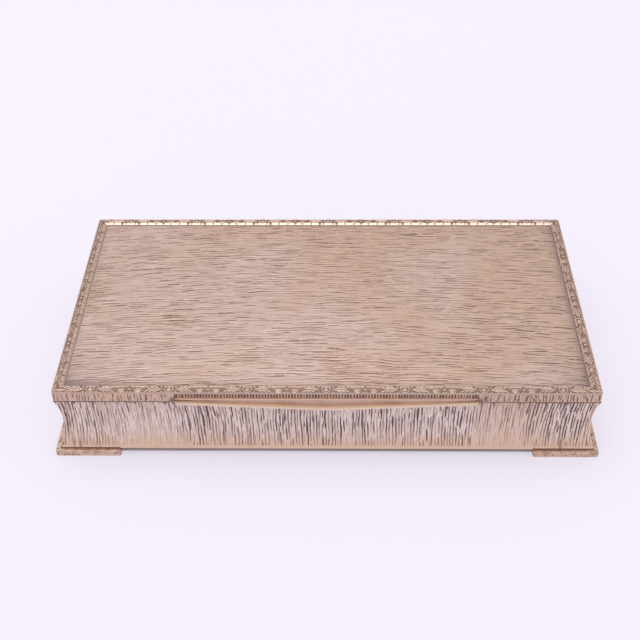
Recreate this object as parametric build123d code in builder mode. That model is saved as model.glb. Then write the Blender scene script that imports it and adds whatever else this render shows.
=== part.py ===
from build123d import *
import math
import os

os.makedirs("parts", exist_ok=True)

# Overall outline
lid_length = 203.2
lid_depth = 114.3
seam_height = 26.5
lid_height = 4.66
lid_corner_radius = 1.2
lid_corner_break = 0.02

# Feet
foot_length = 24.8
foot_thickness = 2.6
foot_overhang = 1.65
foot_corner_radius = 0.8
foot_edge_bevel = 0.25

# Cove walls of the case
sheet = 1.5
waist_height = 14.5
waist_inset = 2.13
rim_inset = 0.12
flare = 0.4
base_thickness = 1.2

# Thumb bay in the front
bay_length = 111.9
scoop_end_drop = 1.7
scoop_middle_drop = 5.25
scoop_middle_radius = 150.0
scoop_corner_radius = 0.6
undercut = 1.05
lip_height = 0.5
lip_reach = 0.2
lip_end_gap = 1.3
bay_backing = 0.4

# Bezel that closes the gap between the lid and the case, and is set forward behind the thumb bay
bezel_inset = 3.1
front_bezel_inset = 2.3
bezel_thickness = 0.8
bezel_rise = 1.5

# Wood lining
liner_thickness = 2.4
liner_floor_thickness = 2.0
liner_below_bezel = 0.2
divider_thickness = 2.5
divider_below_walls = 1.5
liner_edge_radius = 0.7
lid_board_thickness = 1.4

# Lid
lid_sheet = 1.5
border_width = 4.1
border_height = 0.9
border_edge_height = 0.55
ornament_width = 2.9
ornament_inner_height = 0.72
fillet_strip_edge = 0.18

# Rosettes along the border
rosette_spacing = 29.0
rosette_length = 4.2
rosette_width = 2.7
rosette_height = 0.82
boss_length = 2.2
boss_width = 1.4

# Hinge
hinge_inset = 1.25
barrel_radius = 1.5
pin_radius = 0.75
knuckles = 7
leaf_thickness = 0.6
case_leaf_drop = 2.65
lid_leaf_width = 3.8
pin_end_recess = 0.4
search_rounds = 12

# Clearances
seam_gap = 0.3
gutter_clearance = 0.2
pin_clearance = 0.04
knuckle_gap = 0.2
liner_clearance = 0.1
lid_board_clearance = 0.6

# Heights and insets that follow
top_height = seam_height + lid_height
body_bottom = foot_thickness
body_top = seam_height - seam_gap / 2
skirt_bottom = seam_height + seam_gap / 2
panel_top = top_height - border_height
panel_bottom = panel_top - lid_sheet
bezel_top = seam_height + bezel_rise
bezel_inner = bezel_inset + bezel_thickness
liner_outer = bezel_inner + liner_clearance
liner_inner = liner_outer + liner_thickness
liner_floor_bottom = body_bottom + base_thickness
liner_floor_top = liner_floor_bottom + liner_floor_thickness
liner_top = bezel_top - liner_below_bezel
divider_top = liner_top - divider_below_walls
hinge_y = lid_depth / 2 - hinge_inset
gutter_radius = barrel_radius + gutter_clearance
overrun = 2 * (flare + sheet)

sides = ("front", "right", "back", "left")


def wall_frame(side):
    """Corner, direction along the wall, direction inwards and length of the wall on one side."""
    turn = 90 * sides.index(side)
    length, depth = (lid_length, lid_depth) if turn % 180 == 0 else (lid_depth, lid_length)
    corner = Vector(-length / 2, -depth / 2, 0).rotate(Axis.Z, turn)
    along = Vector(1, 0, 0).rotate(Axis.Z, turn)
    inwards = Vector(0, 1, 0).rotate(Axis.Z, turn)
    return corner, along, inwards, length


def wall_plane(side):
    """Section plane of a wall: X runs inwards from the lid's outline and Y upwards."""
    corner, along, inwards, _ = wall_frame(side)
    return Plane(origin=corner - along * overrun, x_dir=inwards, z_dir=along)


def run_along(side, profile):
    """Draws a section along a whole side and cuts both of its ends to a mitre."""
    corner, along, inwards, length = wall_frame(side)
    extrude(profile, amount=length + 2 * overrun)
    split(bisect_by=Plane(origin=corner, z_dir=along - inwards), keep=Keep.TOP)
    split(bisect_by=Plane(origin=corner + along * length, z_dir=-along - inwards), keep=Keep.TOP)


def section(side, points):
    """Straight-edged section of a wall, from (inset, height) points."""
    with BuildSketch(wall_plane(side)) as profile:
        with BuildLine():
            Polyline(*points, close=True)
        make_face()
    return profile.sketch


def round_lid_corners():
    """Rounds the lid's corners in plan. The round meets the faces at a faint edge."""
    length = lid_length + 2 * lid_corner_break
    depth = lid_depth + 2 * lid_corner_break
    with BuildSketch() as outline:
        RectangleRounded(length, depth, lid_corner_radius)
    extrude(outline.sketch, amount=top_height, mode=Mode.INTERSECT)


def cut_gutter():
    """Cuts the round gutter in which the hinge turns, right across the back."""
    with Locations(Location((0, hinge_y, seam_height), (0, 90, 0))):
        Cylinder(gutter_radius, lid_length + 2 * overrun, mode=Mode.SUBTRACT)


def arc_radius(end_inset, end_height):
    """Radius of the cove's arc from the waist, where it is upright, to one end."""
    sag = waist_inset - end_inset
    rise = end_height - waist_height
    return (rise**2 + sag**2) / (2 * sag)


def cove_inset(height, behind=0):
    """Inset of the cove's face at a height, or of the parallel face that lies behind it."""
    if height > waist_height:
        radius = arc_radius(rim_inset, body_top)
    else:
        radius = arc_radius(-flare, body_bottom)
    return waist_inset - radius + math.sqrt((radius + behind) ** 2 - (height - waist_height) ** 2)


def cove_section(side):
    """Section of the bent sheet: two arcs that meet upright at the waist, and the same one sheet in."""
    with BuildSketch(wall_plane(side)) as profile:
        with BuildLine():
            for behind in (0, sheet):
                waist = (waist_inset + behind, waist_height)
                TangentArc(waist, (cove_inset(body_top, behind), body_top), tangent=(0, 1))
                TangentArc(waist, (cove_inset(body_bottom, behind), body_bottom), tangent=(0, -1))
            for height in (body_top, body_bottom):
                Line((cove_inset(height), height), (cove_inset(height, sheet), height))
        make_face()
    return profile.sketch


# Case walls, four mitred coves of bent sheet
scoop_end = body_top - scoop_end_drop
scoop_middle = body_top - scoop_middle_drop

with BuildPart() as front_panel:
    run_along("front", cove_section("front"))
    with BuildSketch(Plane.XZ.offset(lid_depth / 2 + flare)) as scoop:
        with BuildLine():
            Polyline(
                (-bay_length / 2, scoop_end),
                (0, scoop_middle),
                (bay_length / 2, scoop_end),
                (bay_length / 2, seam_height),
                (-bay_length / 2, seam_height),
                close=True,
            )
        make_face()
        fillet(scoop.vertices().sort_by(Axis.Y)[0], scoop_middle_radius)
        for end in (0, -1):
            fillet(scoop.vertices().group_by(Axis.X)[end].sort_by(Axis.Y)[0], scoop_corner_radius)
    extrude(amount=-(flare + bezel_inset + sheet), mode=Mode.SUBTRACT)
front_panel.part.label = "front_panel"
export_step(front_panel.part, "parts/front_panel.step")

for side in ("right", "back", "left"):
    with BuildPart() as wall:
        run_along(side, cove_section(side))
        cut_gutter()
    wall.part.label = f"{side}_panel"
    export_step(wall.part, f"parts/{side}_panel.step")

# Base plate, let in between the walls and carried by the feet
base_edge = cove_inset(body_bottom + base_thickness, sheet)
with BuildPart() as base_plate:
    with BuildSketch(Plane.XY.offset(body_bottom)):
        Rectangle(lid_length - 2 * base_edge, lid_depth - 2 * base_edge)
    extrude(amount=base_thickness)
base_plate.part.label = "base_plate"
export_step(base_plate.part, "parts/base_plate.step")

# Feet, four flat plates under the corners
foot_x = lid_length / 2 + foot_overhang - foot_length / 2
foot_y = lid_depth / 2 + foot_overhang - foot_length / 2
for row, y in (("front", -foot_y), ("back", foot_y)):
    for hand, x in (("left", -foot_x), ("right", foot_x)):
        with BuildPart() as foot:
            with BuildSketch():
                with Locations((x, y)):
                    RectangleRounded(foot_length, foot_length, foot_corner_radius)
            extrude(amount=foot_thickness)
            chamfer(foot.faces().sort_by(Axis.Z)[-1].edges(), foot_edge_bevel)
        foot.part.label = f"foot_{row}_{hand}"
        export_step(foot.part, f"parts/foot_{row}_{hand}.step")

# Bezel, four upright strips soldered inside the walls, over which the lid closes
def seat_height(inset):
    """Height, above the waist, at which the wall's inner face lies at an inset."""
    radius = arc_radius(rim_inset, body_top)
    return waist_height + math.sqrt((radius + sheet) ** 2 - (inset - waist_inset + radius) ** 2)


def front_bezel_section():
    """Section of the front bezel, which follows the wall's inner face and then stands upright."""
    bend = seat_height(front_bezel_inset)
    between = (bezel_bottom + bend) / 2
    with BuildSketch(wall_plane("front")) as profile:
        with BuildLine():
            foot = (bezel_inset, bezel_bottom)
            ThreePointArc(foot, (cove_inset(between, sheet), between), (front_bezel_inset, bend))
            Polyline(
                (front_bezel_inset, bend),
                (front_bezel_inset, bezel_top),
                (bezel_inner, bezel_top),
                (bezel_inner, bezel_bottom),
                foot,
            )
        make_face()
    return profile.sketch


bezel_bottom = seat_height(bezel_inset)
bezel_corners = [
    (bezel_inset, bezel_bottom),
    (bezel_inner, bezel_bottom),
    (bezel_inner, bezel_top),
    (bezel_inset, bezel_top),
]
for side in sides:
    with BuildPart() as strip:
        run_along(side, front_bezel_section() if side == "front" else section(side, bezel_corners))
    strip.part.label = f"bezel_{side}"
    export_step(strip.part, f"parts/bezel_{side}.step")

# Wood lining: a floor, four butted walls that stand on it, and the divider between them
with BuildPart() as liner_floor:
    with BuildSketch(Plane.XY.offset(liner_floor_bottom)):
        Rectangle(lid_length - 2 * liner_outer, lid_depth - 2 * liner_outer)
    extrude(amount=liner_floor_thickness)
liner_floor.part.label = "liner_floor"
export_step(liner_floor.part, "parts/liner_floor.step")

liner_y = lid_depth / 2 - (liner_outer + liner_inner) / 2
liner_x = lid_length / 2 - (liner_outer + liner_inner) / 2
clear_depth = lid_depth - 2 * liner_inner
lining = [
    ("liner_front", 0, -liner_y, lid_length - 2 * liner_outer, liner_thickness, liner_top),
    ("liner_back", 0, liner_y, lid_length - 2 * liner_outer, liner_thickness, liner_top),
    ("liner_left", -liner_x, 0, liner_thickness, clear_depth, liner_top),
    ("liner_right", liner_x, 0, liner_thickness, clear_depth, liner_top),
    ("liner_divider", 0, 0, divider_thickness, clear_depth, divider_top),
]
for name, x, y, length, depth, height in lining:
    with BuildPart() as board:
        with BuildSketch(Plane.XY.offset(liner_floor_top)):
            with Locations((x, y)):
                Rectangle(length, depth)
        extrude(amount=height - liner_floor_top)
        long_axis = Axis.X if length > depth else Axis.Y
        fillet(board.faces().sort_by(Axis.Z)[-1].edges().filter_by(long_axis), liner_edge_radius)
    board.part.label = name
    export_step(board.part, f"parts/{name}.step")

# Lid panel
with BuildPart() as lid_panel:
    with BuildSketch(Plane.XY.offset(panel_bottom)):
        Rectangle(lid_length - 2 * lid_sheet, lid_depth - 2 * lid_sheet)
    extrude(amount=lid_sheet)
lid_panel.part.label = "lid_panel"
export_step(lid_panel.part, "parts/lid_panel.step")

# Lid skirts, mitred, with the undercut grip and its lip in the front one
for side in sides:
    with BuildPart() as skirt:
        corners = [
            (0, skirt_bottom),
            (lid_sheet, skirt_bottom),
            (lid_sheet, panel_top),
            (0, panel_top),
        ]
        run_along(side, section(side, corners))
        round_lid_corners()
        if side == "front":
            face_y = -lid_depth / 2
            lip_top = skirt_bottom + lip_height
            grip_y = face_y + undercut
            lip_length = bay_length - 2 * lip_end_gap
            with BuildSketch(Plane.YZ.offset(-bay_length / 2)):
                with BuildLine():
                    Polyline(
                        (face_y, panel_top),
                        (grip_y, lip_top),
                        (grip_y, skirt_bottom),
                        (face_y, skirt_bottom),
                        close=True,
                    )
                make_face()
            extrude(amount=bay_length, mode=Mode.SUBTRACT)
            with BuildSketch(Plane.XY.offset(skirt_bottom)):
                with Locations((0, grip_y - lip_reach / 2)):
                    Rectangle(lip_length, lip_reach)
            extrude(amount=lip_height)
            with BuildSketch(Plane.YZ.offset(-bay_length / 2)):
                with BuildLine():
                    backing = face_y + lid_sheet
                    Polyline(
                        (backing, skirt_bottom),
                        (backing + bay_backing, skirt_bottom),
                        (backing + bay_backing, panel_bottom),
                        (backing, panel_bottom),
                        close=True,
                    )
                make_face()
            extrude(amount=bay_length)
        else:
            cut_gutter()
    skirt.part.label = f"lid_skirt_{side}"
    export_step(skirt.part, f"parts/lid_skirt_{side}.step")

# Border mouldings, mitred strips with a cushion face, rosettes and a plain sloping inner edge
def border_section(side):
    """Section of the border: outer edge, cushion that carries the ornament, plain slope inside it."""
    edge = (0, panel_top + border_edge_height)
    fold = (ornament_width, panel_top + ornament_inner_height)
    crown = (ornament_width / 2, panel_top + (border_edge_height + border_height) / 2)
    inner_edge = (border_width, panel_top + fillet_strip_edge)
    with BuildSketch(wall_plane(side)) as profile:
        with BuildLine():
            ThreePointArc(edge, crown, fold)
            Polyline(fold, inner_edge, (border_width, panel_top), (0, panel_top), edge)
        make_face()
    return profile.sketch


for side in sides:
    corner, along, inwards, length = wall_frame(side)
    count = round(length / rosette_spacing)
    middle = corner + along * (length / 2) + inwards * (ornament_width / 2) + Vector(0, 0, panel_top)
    ovals = (
        (rosette_length, rosette_width, rosette_height),
        (boss_length, boss_width, border_height),
    )
    with BuildPart() as border:
        run_along(side, border_section(side))
        round_lid_corners()
        for oval_length, oval_width, oval_height in ovals:
            with BuildSketch(Plane(origin=middle, x_dir=along, z_dir=(0, 0, 1))):
                with GridLocations(rosette_spacing, 0, count, 1):
                    Ellipse(oval_length / 2, oval_width / 2)
            extrude(amount=oval_height)
    border.part.label = f"border_{side}"
    export_step(border.part, f"parts/border_{side}.step")

# Lid lining board
board_edge = liner_inner + lid_board_clearance
with BuildPart() as lid_liner:
    with BuildSketch(Plane.XY.offset(panel_bottom - lid_board_thickness)):
        Rectangle(lid_length - 2 * board_edge, lid_depth - 2 * board_edge)
    extrude(amount=lid_board_thickness)
lid_liner.part.label = "lid_liner"
export_step(lid_liner.part, "parts/lid_liner.step")

# Hinge, a row of knuckles across the back, the outer ones on the case
knuckle_pitch = lid_length / knuckles
knuckle_length = knuckle_pitch - knuckle_gap
leaf_limit = lid_length / 2 - bezel_inner
bezel_y = lid_depth / 2 - bezel_inset
skirt_y = lid_depth / 2 - lid_sheet
case_leaf = [
    (bezel_y, seam_height),
    (bezel_y, seam_height - case_leaf_drop),
    (bezel_y + leaf_thickness, seam_height - case_leaf_drop),
    (bezel_y + leaf_thickness, seam_height),
]
lid_leaf = [
    (skirt_y, seam_height),
    (skirt_y, panel_bottom),
    (skirt_y - lid_leaf_width, panel_bottom),
    (skirt_y - lid_leaf_width, panel_bottom - leaf_thickness),
    (skirt_y - leaf_thickness, panel_bottom - leaf_thickness),
    (skirt_y - leaf_thickness, seam_height),
]


def add_knuckles(first, leaf):
    """Adds every second knuckle from the first: its barrel, its leaf and the bore for the pin."""
    for place in range(first, knuckles, 2):
        start = -lid_length / 2 + place * knuckle_pitch + knuckle_gap / 2
        leaf_start = max(start, -leaf_limit)
        leaf_end = min(start + knuckle_length, leaf_limit)
        with BuildSketch(Plane.YZ.offset(start)) as barrel:
            with Locations((hinge_y, seam_height)):
                Circle(barrel_radius)
        extrude(barrel.sketch, amount=knuckle_length)
        with BuildSketch(Plane.YZ.offset(leaf_start)) as web:
            with BuildLine():
                Polyline(*leaf, close=True)
            make_face()
        extrude(web.sketch, amount=leaf_end - leaf_start)
    with Locations(Location((0, hinge_y, seam_height), (0, 90, 0))):
        Cylinder(pin_radius + pin_clearance, lid_length, mode=Mode.SUBTRACT)


with BuildPart() as case_hinge_knuckles:
    add_knuckles(0, case_leaf)
case_hinge_knuckles.part.label = "case_hinge_knuckles"
export_step(case_hinge_knuckles.part, "parts/case_hinge_knuckles.step")

with BuildPart() as lid_hinge_knuckles:
    add_knuckles(1, lid_leaf)
lid_hinge_knuckles.part.label = "lid_hinge_knuckles"
export_step(lid_hinge_knuckles.part, "parts/lid_hinge_knuckles.step")

with BuildPart() as hinge_pin:
    with Locations(Location((0, hinge_y, seam_height), (0, 90, 0))):
        Cylinder(pin_radius, lid_length - knuckle_gap - 2 * pin_end_recess)
hinge_pin.part.label = "hinge_pin"
export_step(hinge_pin.part, "parts/hinge_pin.step")

# Angle at which the lid's back edge comes down on the case's
lid_edge_angle = math.acos(hinge_inset / gutter_radius)
case_edge_drop = gutter_radius
for _ in range(search_rounds):
    case_edge_reach = hinge_inset - cove_inset(seam_height - case_edge_drop)
    case_edge_drop = math.sqrt(gutter_radius**2 - case_edge_reach**2)
case_edge_angle = math.asin(case_edge_drop / gutter_radius)
print("the lid stops at, degrees", round(math.degrees(lid_edge_angle + case_edge_angle), 1))
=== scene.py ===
# %% [markdown]
# A bark-finished bronze cigarette box.
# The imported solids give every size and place: the coved walls, the hinge, the lid and the wood
# lining. This lesson dresses them with the finish of the real box, which is chased metal: bark
# grooves on the walls and the lid, a stamped border, and a dark patina left in the hollows.

# %% Load the frame
import math

import bmesh
import bpy
import numpy as np
from mathutils import Matrix, Vector


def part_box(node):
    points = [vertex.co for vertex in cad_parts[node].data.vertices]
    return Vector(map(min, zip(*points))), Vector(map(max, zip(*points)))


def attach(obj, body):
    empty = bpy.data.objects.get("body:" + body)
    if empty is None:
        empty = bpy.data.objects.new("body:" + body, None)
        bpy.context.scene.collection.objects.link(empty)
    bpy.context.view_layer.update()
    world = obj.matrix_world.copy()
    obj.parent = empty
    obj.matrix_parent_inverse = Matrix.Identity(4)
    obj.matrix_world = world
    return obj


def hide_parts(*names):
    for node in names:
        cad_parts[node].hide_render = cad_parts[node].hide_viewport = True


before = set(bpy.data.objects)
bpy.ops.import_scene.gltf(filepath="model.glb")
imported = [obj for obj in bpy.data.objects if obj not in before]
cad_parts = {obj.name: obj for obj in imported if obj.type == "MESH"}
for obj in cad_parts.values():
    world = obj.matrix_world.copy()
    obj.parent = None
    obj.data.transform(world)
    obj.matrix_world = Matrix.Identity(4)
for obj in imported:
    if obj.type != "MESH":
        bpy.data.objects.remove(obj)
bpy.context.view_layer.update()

MM = 0.001
scene = bpy.context.scene
scene.view_settings.view_transform = "Standard"

# %% [markdown]
# The camera comes first, because every later choice is judged through it. The photograph was
# taken from the front, a little over 38 degrees above the table, with a moderate telephoto view.
# The box's corners and the repeats of its border fix the lens and the place to about a pixel.

# %% Camera
SENSOR_WIDTH = 36.0
IMAGE_WIDTH = 640
FOCAL_PIXELS = 1191.9
camera_place = Vector((4.39, -381.96, 323.65)) * MM
camera_yaw = math.radians(-1.113)
camera_pitch = math.radians(38.515)
camera_roll = math.radians(0.607)

forward = Vector((
    math.sin(camera_yaw) * math.cos(camera_pitch),
    math.cos(camera_yaw) * math.cos(camera_pitch),
    -math.sin(camera_pitch),
))
level_right = Vector((math.cos(camera_yaw), -math.sin(camera_yaw), 0))
level_down = forward.cross(level_right).normalized()
right = level_right * math.cos(camera_roll) + level_down * math.sin(camera_roll)
down = level_down * math.cos(camera_roll) - level_right * math.sin(camera_roll)

camera_data = bpy.data.cameras.new("camera")
camera_data.sensor_width = SENSOR_WIDTH
camera_data.lens = FOCAL_PIXELS * SENSOR_WIDTH / IMAGE_WIDTH
camera_data.clip_start = 0.01
camera = bpy.data.objects.new("camera", camera_data)
turn = Matrix((right, -down, -forward)).transposed().to_4x4()
camera.matrix_world = Matrix.Translation(camera_place) @ turn
scene.collection.objects.link(camera)
scene.camera = camera
print("lens, mm", round(camera_data.lens, 2))

# %% [markdown]
# Colours are written as sRGB hex, the way a colour picker shows them, and one function turns
# them to the linear values that a shader works in. A second function adds any node with its
# settings and its links, so a material or a geometry tree reads as a list of its own steps.

# %% Colours and nodes
def linear(hex_code):
    """Linear RGBA of an sRGB hex colour."""
    channels = [int(hex_code[i:i + 2], 16) / 255 for i in (1, 3, 5)]
    return [c / 12.92 if c <= 0.04045 else ((c + 0.055) / 1.055) ** 2.4 for c in channels] + [1.0]


def add(tree, kind, inputs=None, output=None, **settings):
    """Adds a node, sets it, feeds its inputs with values or links, and returns one output."""
    node = tree.nodes.new(kind)
    for name, value in settings.items():
        setattr(node, name, value)
    for key, value in (inputs or {}).items():
        socket = node.inputs[key] if isinstance(key, int) else next(
            s for s in node.inputs if s.enabled and s.name == key)
        if isinstance(value, bpy.types.NodeSocket):
            tree.links.new(value, socket)
        else:
            socket.default_value = value
    if output is None:
        return next((s for s in node.outputs if s.enabled), None)
    return node.outputs[output]


def material_of(name, build, **surface):
    """Makes a material. build gets the tree and Object coordinates and returns the linked inputs."""
    material = bpy.data.materials.new(name)
    material.use_nodes = True
    tree = material.node_tree
    tree.nodes.clear()
    inputs = dict(surface)
    inputs.update(build(tree, add(tree, "ShaderNodeTexCoord", output="Object")))
    shader = add(tree, "ShaderNodeBsdfPrincipled", inputs)
    add(tree, "ShaderNodeOutputMaterial", {"Surface": shader})
    return material


print("sRGB mid grey is", round(linear("#808080")[0], 3), "in linear light")

# %% [markdown]
# Chased and patinated bronze. Bronze is a copper alloy, so it reflects like a metal, in its own
# warm colour. The maker darkens the whole surface with a chemical patina and then rubs it back:
# the dark stays in the grooves, and the ridges come up pale. On the walls the ridges are painted
# silvery higher up, where they were rubbed hardest: partly rubbed patina, partly a painted
# reflection of the pale floor that the upper cove faces down at. Near the foot they stay tan.
# The depth of each groove is kept on the mesh as an attribute, so the colour follows the real
# relief. The thin film of patina also scatters some light, which is why the metallic value is a
# little under 1.

# %% Bark bronze for the walls
TARNISHED_METAL = 0.82
WALL_STREAK_WIDTH = 0.45 * MM
WALL_STREAK_LENGTH = 9.0 * MM
SHEEN_FROM = 4.0 * MM
SHEEN_TO = 12.0 * MM
RAGGED = 14.0 * MM


def bark_wall(tree, place):
    """Tan metal low down, and above it violet-brown grooves and silvery ridges, partly a painted reflection.
    """
    patina, rub, bare_edge_highlight, dull = (
        add(tree, "ShaderNodeAttribute", output="Fac", attribute_name=label)
        for label in ("patina", "rub", "edge", "dull"))
    height = add(tree, "ShaderNodeSeparateXYZ", {"Vector": place}, output="Z")
    combed = add(tree, "ShaderNodeMapping", {
        "Vector": place, "Scale": (1 / WALL_STREAK_WIDTH, 1 / WALL_STREAK_WIDTH, 1 / WALL_STREAK_LENGTH)})
    streaks = add(tree, "ShaderNodeTexNoise", {"Vector": combed, "Scale": 1.0, "Detail": 2.0})
    ragged = add(tree, "ShaderNodeTexNoise", {"Vector": combed, "Scale": 0.35, "Detail": 2.0})
    edge = add(tree, "ShaderNodeMath", {0: ragged, 1: RAGGED, 2: height}, operation="MULTIPLY_ADD")
    # Painted reflection: higher up, the ridges are painted silvery, as the cove there faces down at the pale
    # floor, scaled by how hard they were rubbed.
    sheen_by_height = add(tree, "ShaderNodeMapRange", {
        "Value": edge, "From Min": SHEEN_FROM + RAGGED / 2, "From Max": SHEEN_TO + RAGGED / 2,
    }, interpolation_type="SMOOTHSTEP")
    rubbed_silver_sheen = add(tree, "ShaderNodeMath", {0: sheen_by_height, 1: rub}, operation="MULTIPLY")
    field = add(tree, "ShaderNodeMix", {
        "Factor": rubbed_silver_sheen, "A": linear("#d9bca5"), "B": linear("#d5beb1")}, data_type="RGBA")
    # Where rubbed and high up, the ridges also get a pale painted highlight.
    bright = add(tree, "ShaderNodeMapRange", {
        "Value": streaks, "From Min": 0.42, "From Max": 0.60, "To Min": 0.1}, interpolation_type="SMOOTHSTEP")
    rubbed = add(tree, "ShaderNodeMath", {0: bright, 1: rubbed_silver_sheen}, operation="MULTIPLY")
    ridge = add(tree, "ShaderNodeMix", {
        "Factor": rubbed, "A": field, "B": linear("#ebddd4")}, data_type="RGBA")
    groove = add(tree, "ShaderNodeMix", {
        "Factor": rubbed_silver_sheen, "A": linear("#7c6054"), "B": linear("#63545a")}, data_type="RGBA")
    depth = add(tree, "ShaderNodeMapRange", {
        "Value": patina, "From Min": 0.12, "From Max": 0.85}, interpolation_type="SMOOTHSTEP")
    chased = add(tree, "ShaderNodeMix", {"Factor": depth, "A": ridge, "B": groove}, data_type="RGBA")
    # Where set, the colour is pulled towards a darker tone.
    darker_toned = add(tree, "ShaderNodeMix", {
        "Factor": dull, "A": chased, "B": linear("#8d7365")}, data_type="RGBA")
    # The scoop's cut edge is painted pale: bare metal, with a painted highlight on top.
    colour = add(tree, "ShaderNodeMix", {
        "Factor": bare_edge_highlight, "A": darker_toned, "B": linear("#f8dcc1")}, data_type="RGBA")
    rough = add(tree, "ShaderNodeMapRange", {"Value": patina, "To Min": 0.36, "To Max": 0.62})
    metal = add(tree, "ShaderNodeMapRange", {
        "Value": bare_edge_highlight, "To Min": TARNISHED_METAL, "To Max": TARNISHED_METAL / 2})
    bump = add(tree, "ShaderNodeBump", {"Strength": 0.35, "Distance": 0.08 * MM, "Height": streaks})
    return {"Base Color": colour, "Roughness": rough, "Metallic": metal, "Normal": bump}


wall_bronze = material_of("bark_bronze_walls", bark_wall)
print("wall streaks, mm", WALL_STREAK_WIDTH / MM, "by", WALL_STREAK_LENGTH / MM)

# %% [markdown]
# The lid is the same bronze, rubbed by hands more than by the maker. Seen from above it is rosy at
# the front left and tan at the back right, with fine streaks that bow like its strokes do; its
# lighter front is partly painted light. A rim beside the border is kept dark, partly patina that
# was never rubbed and partly painted shade beside the raised border, and so is the joint at the
# border's foot.

# %% Bark bronze for the lid
LID_PATCH = 38.0 * MM
TONE_AND_LIGHT_PER_METRE = (1.3, 2.2, 0.0)
LID_STREAK_LENGTH = 14.0 * MM
LID_STREAK_WIDTH = 0.75 * MM
SWAY_LENGTH = 14.0 * MM
SWAY = 3.0 * MM
ARCH = 5.0 * MM
FIELD_HALF_X = round(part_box("border_right")[0].x, 6)
FIELD_HALF_Y = round(-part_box("border_front")[1].y, 6)


def bark_top(tree, place):
    """Rosy and tan patches, brown grooves, and a darker rim beside the border, partly patina and partly
    painted shade.
    """
    patina, shade = (
        add(tree, "ShaderNodeAttribute", output="Fac", attribute_name=label) for label in ("patina", "shade"))
    patches = add(tree, "ShaderNodeTexNoise", {"Vector": place, "Scale": 1 / LID_PATCH, "Detail": 2.0})
    # The slant turns the lid tan towards its back right and lighter towards its front. The lighter front is
    # partly painted light.
    slant = add(tree, "ShaderNodeVectorMath", {
        0: place, 1: TONE_AND_LIGHT_PER_METRE}, output="Value", operation="DOT_PRODUCT")
    share = add(tree, "ShaderNodeMapRange", {
        "Value": add(tree, "ShaderNodeMath", {0: patches, 1: slant}, operation="ADD"),
        "From Min": 0.33, "From Max": 0.67}, interpolation_type="SMOOTHSTEP")
    field = add(tree, "ShaderNodeMix", {
        "Factor": share, "A": linear("#d7c0b5"), "B": linear("#d0b49d")}, data_type="RGBA")

    sway = add(tree, "ShaderNodeTexNoise", {"Vector": place, "Scale": 1 / SWAY_LENGTH, "Detail": 1.0})
    swung = add(tree, "ShaderNodeMath", {0: sway, 1: SWAY}, operation="MULTIPLY")
    reach = add(tree, "ShaderNodeSeparateXYZ", {"Vector": place}, output="X")
    bowed = add(tree, "ShaderNodeMath", {0: reach, 1: reach}, operation="MULTIPLY")
    drift = add(tree, "ShaderNodeMath", {
        0: bowed, 1: ARCH / FIELD_HALF_X**2, 2: swung}, operation="MULTIPLY_ADD")
    bent = add(tree, "ShaderNodeVectorMath", {
        0: place, 1: add(tree, "ShaderNodeCombineXYZ", {"Y": drift})}, operation="ADD")
    combed = add(tree, "ShaderNodeMapping", {
        "Vector": bent, "Scale": (1 / LID_STREAK_LENGTH, 1 / LID_STREAK_WIDTH, 1.0)})
    streaks = add(tree, "ShaderNodeTexNoise", {
        "Vector": combed, "Scale": 1.0, "Detail": 3.0, "Roughness": 0.6})
    streak_share = add(tree, "ShaderNodeMapRange", {"Value": streaks, "From Min": 0.36, "From Max": 0.58})
    streaked = add(tree, "ShaderNodeMix", {
        "Factor": streak_share, "A": linear("#c3a799"), "B": field}, data_type="RGBA")
    # Painted shade: the rim beside the border is darkened, partly as patina never rubbed off.
    aged_and_shaded = add(tree, "ShaderNodeMix", {
        "Factor": shade, "A": streaked, "B": linear("#84716f")}, data_type="RGBA")
    depth = add(tree, "ShaderNodeMapRange", {
        "Value": patina, "From Min": 0.10, "From Max": 0.80}, interpolation_type="SMOOTHSTEP")
    worked = add(tree, "ShaderNodeMix", {
        "Factor": depth, "A": aged_and_shaded, "B": linear("#7d6157")}, data_type="RGBA")

    size = add(tree, "ShaderNodeVectorMath", {0: place}, operation="ABSOLUTE")
    rim = add(tree, "ShaderNodeVectorMath", {
        0: (FIELD_HALF_X, FIELD_HALF_Y, 1.0), 1: size}, operation="SUBTRACT")
    gaps = add(tree, "ShaderNodeSeparateXYZ", {"Vector": rim}).node.outputs
    nearest = add(tree, "ShaderNodeMath", {0: gaps[0], 1: gaps[1]}, operation="MINIMUM")
    joint = add(tree, "ShaderNodeMapRange", {
        "Value": nearest, "From Min": 0.25 * MM, "From Max": 0.55 * MM, "To Min": 0.85, "To Max": 0.0,
    }, interpolation_type="SMOOTHSTEP")
    colour = add(tree, "ShaderNodeMix", {
        "Factor": joint, "A": worked, "B": linear("#7d6257")}, data_type="RGBA")
    rough = add(tree, "ShaderNodeMapRange", {"Value": patina, "To Min": 0.38, "To Max": 0.60})
    bump = add(tree, "ShaderNodeBump", {"Strength": 0.25, "Distance": 0.05 * MM, "Height": streaks})
    return {"Base Color": colour, "Roughness": rough, "Normal": bump}


lid_bronze = material_of("bark_bronze_lid", bark_top, Metallic=TARNISHED_METAL)
print("field inside the border, mm", 2 * FIELD_HALF_X / MM, "by", 2 * FIELD_HALF_Y / MM)

# %% [markdown]
# The bezel, feet, hinge and base are smooth bronze, filed and left satin. What the eye sees is a
# soft cloudy tarnish a few millimetres across, and fine rubbing marks that blur the reflections.
# The feet have small dark pits too.

# %% Satin bronze
RUB_MARK = 0.4 * MM
PIT_WIDTHS_APART = 3


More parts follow.
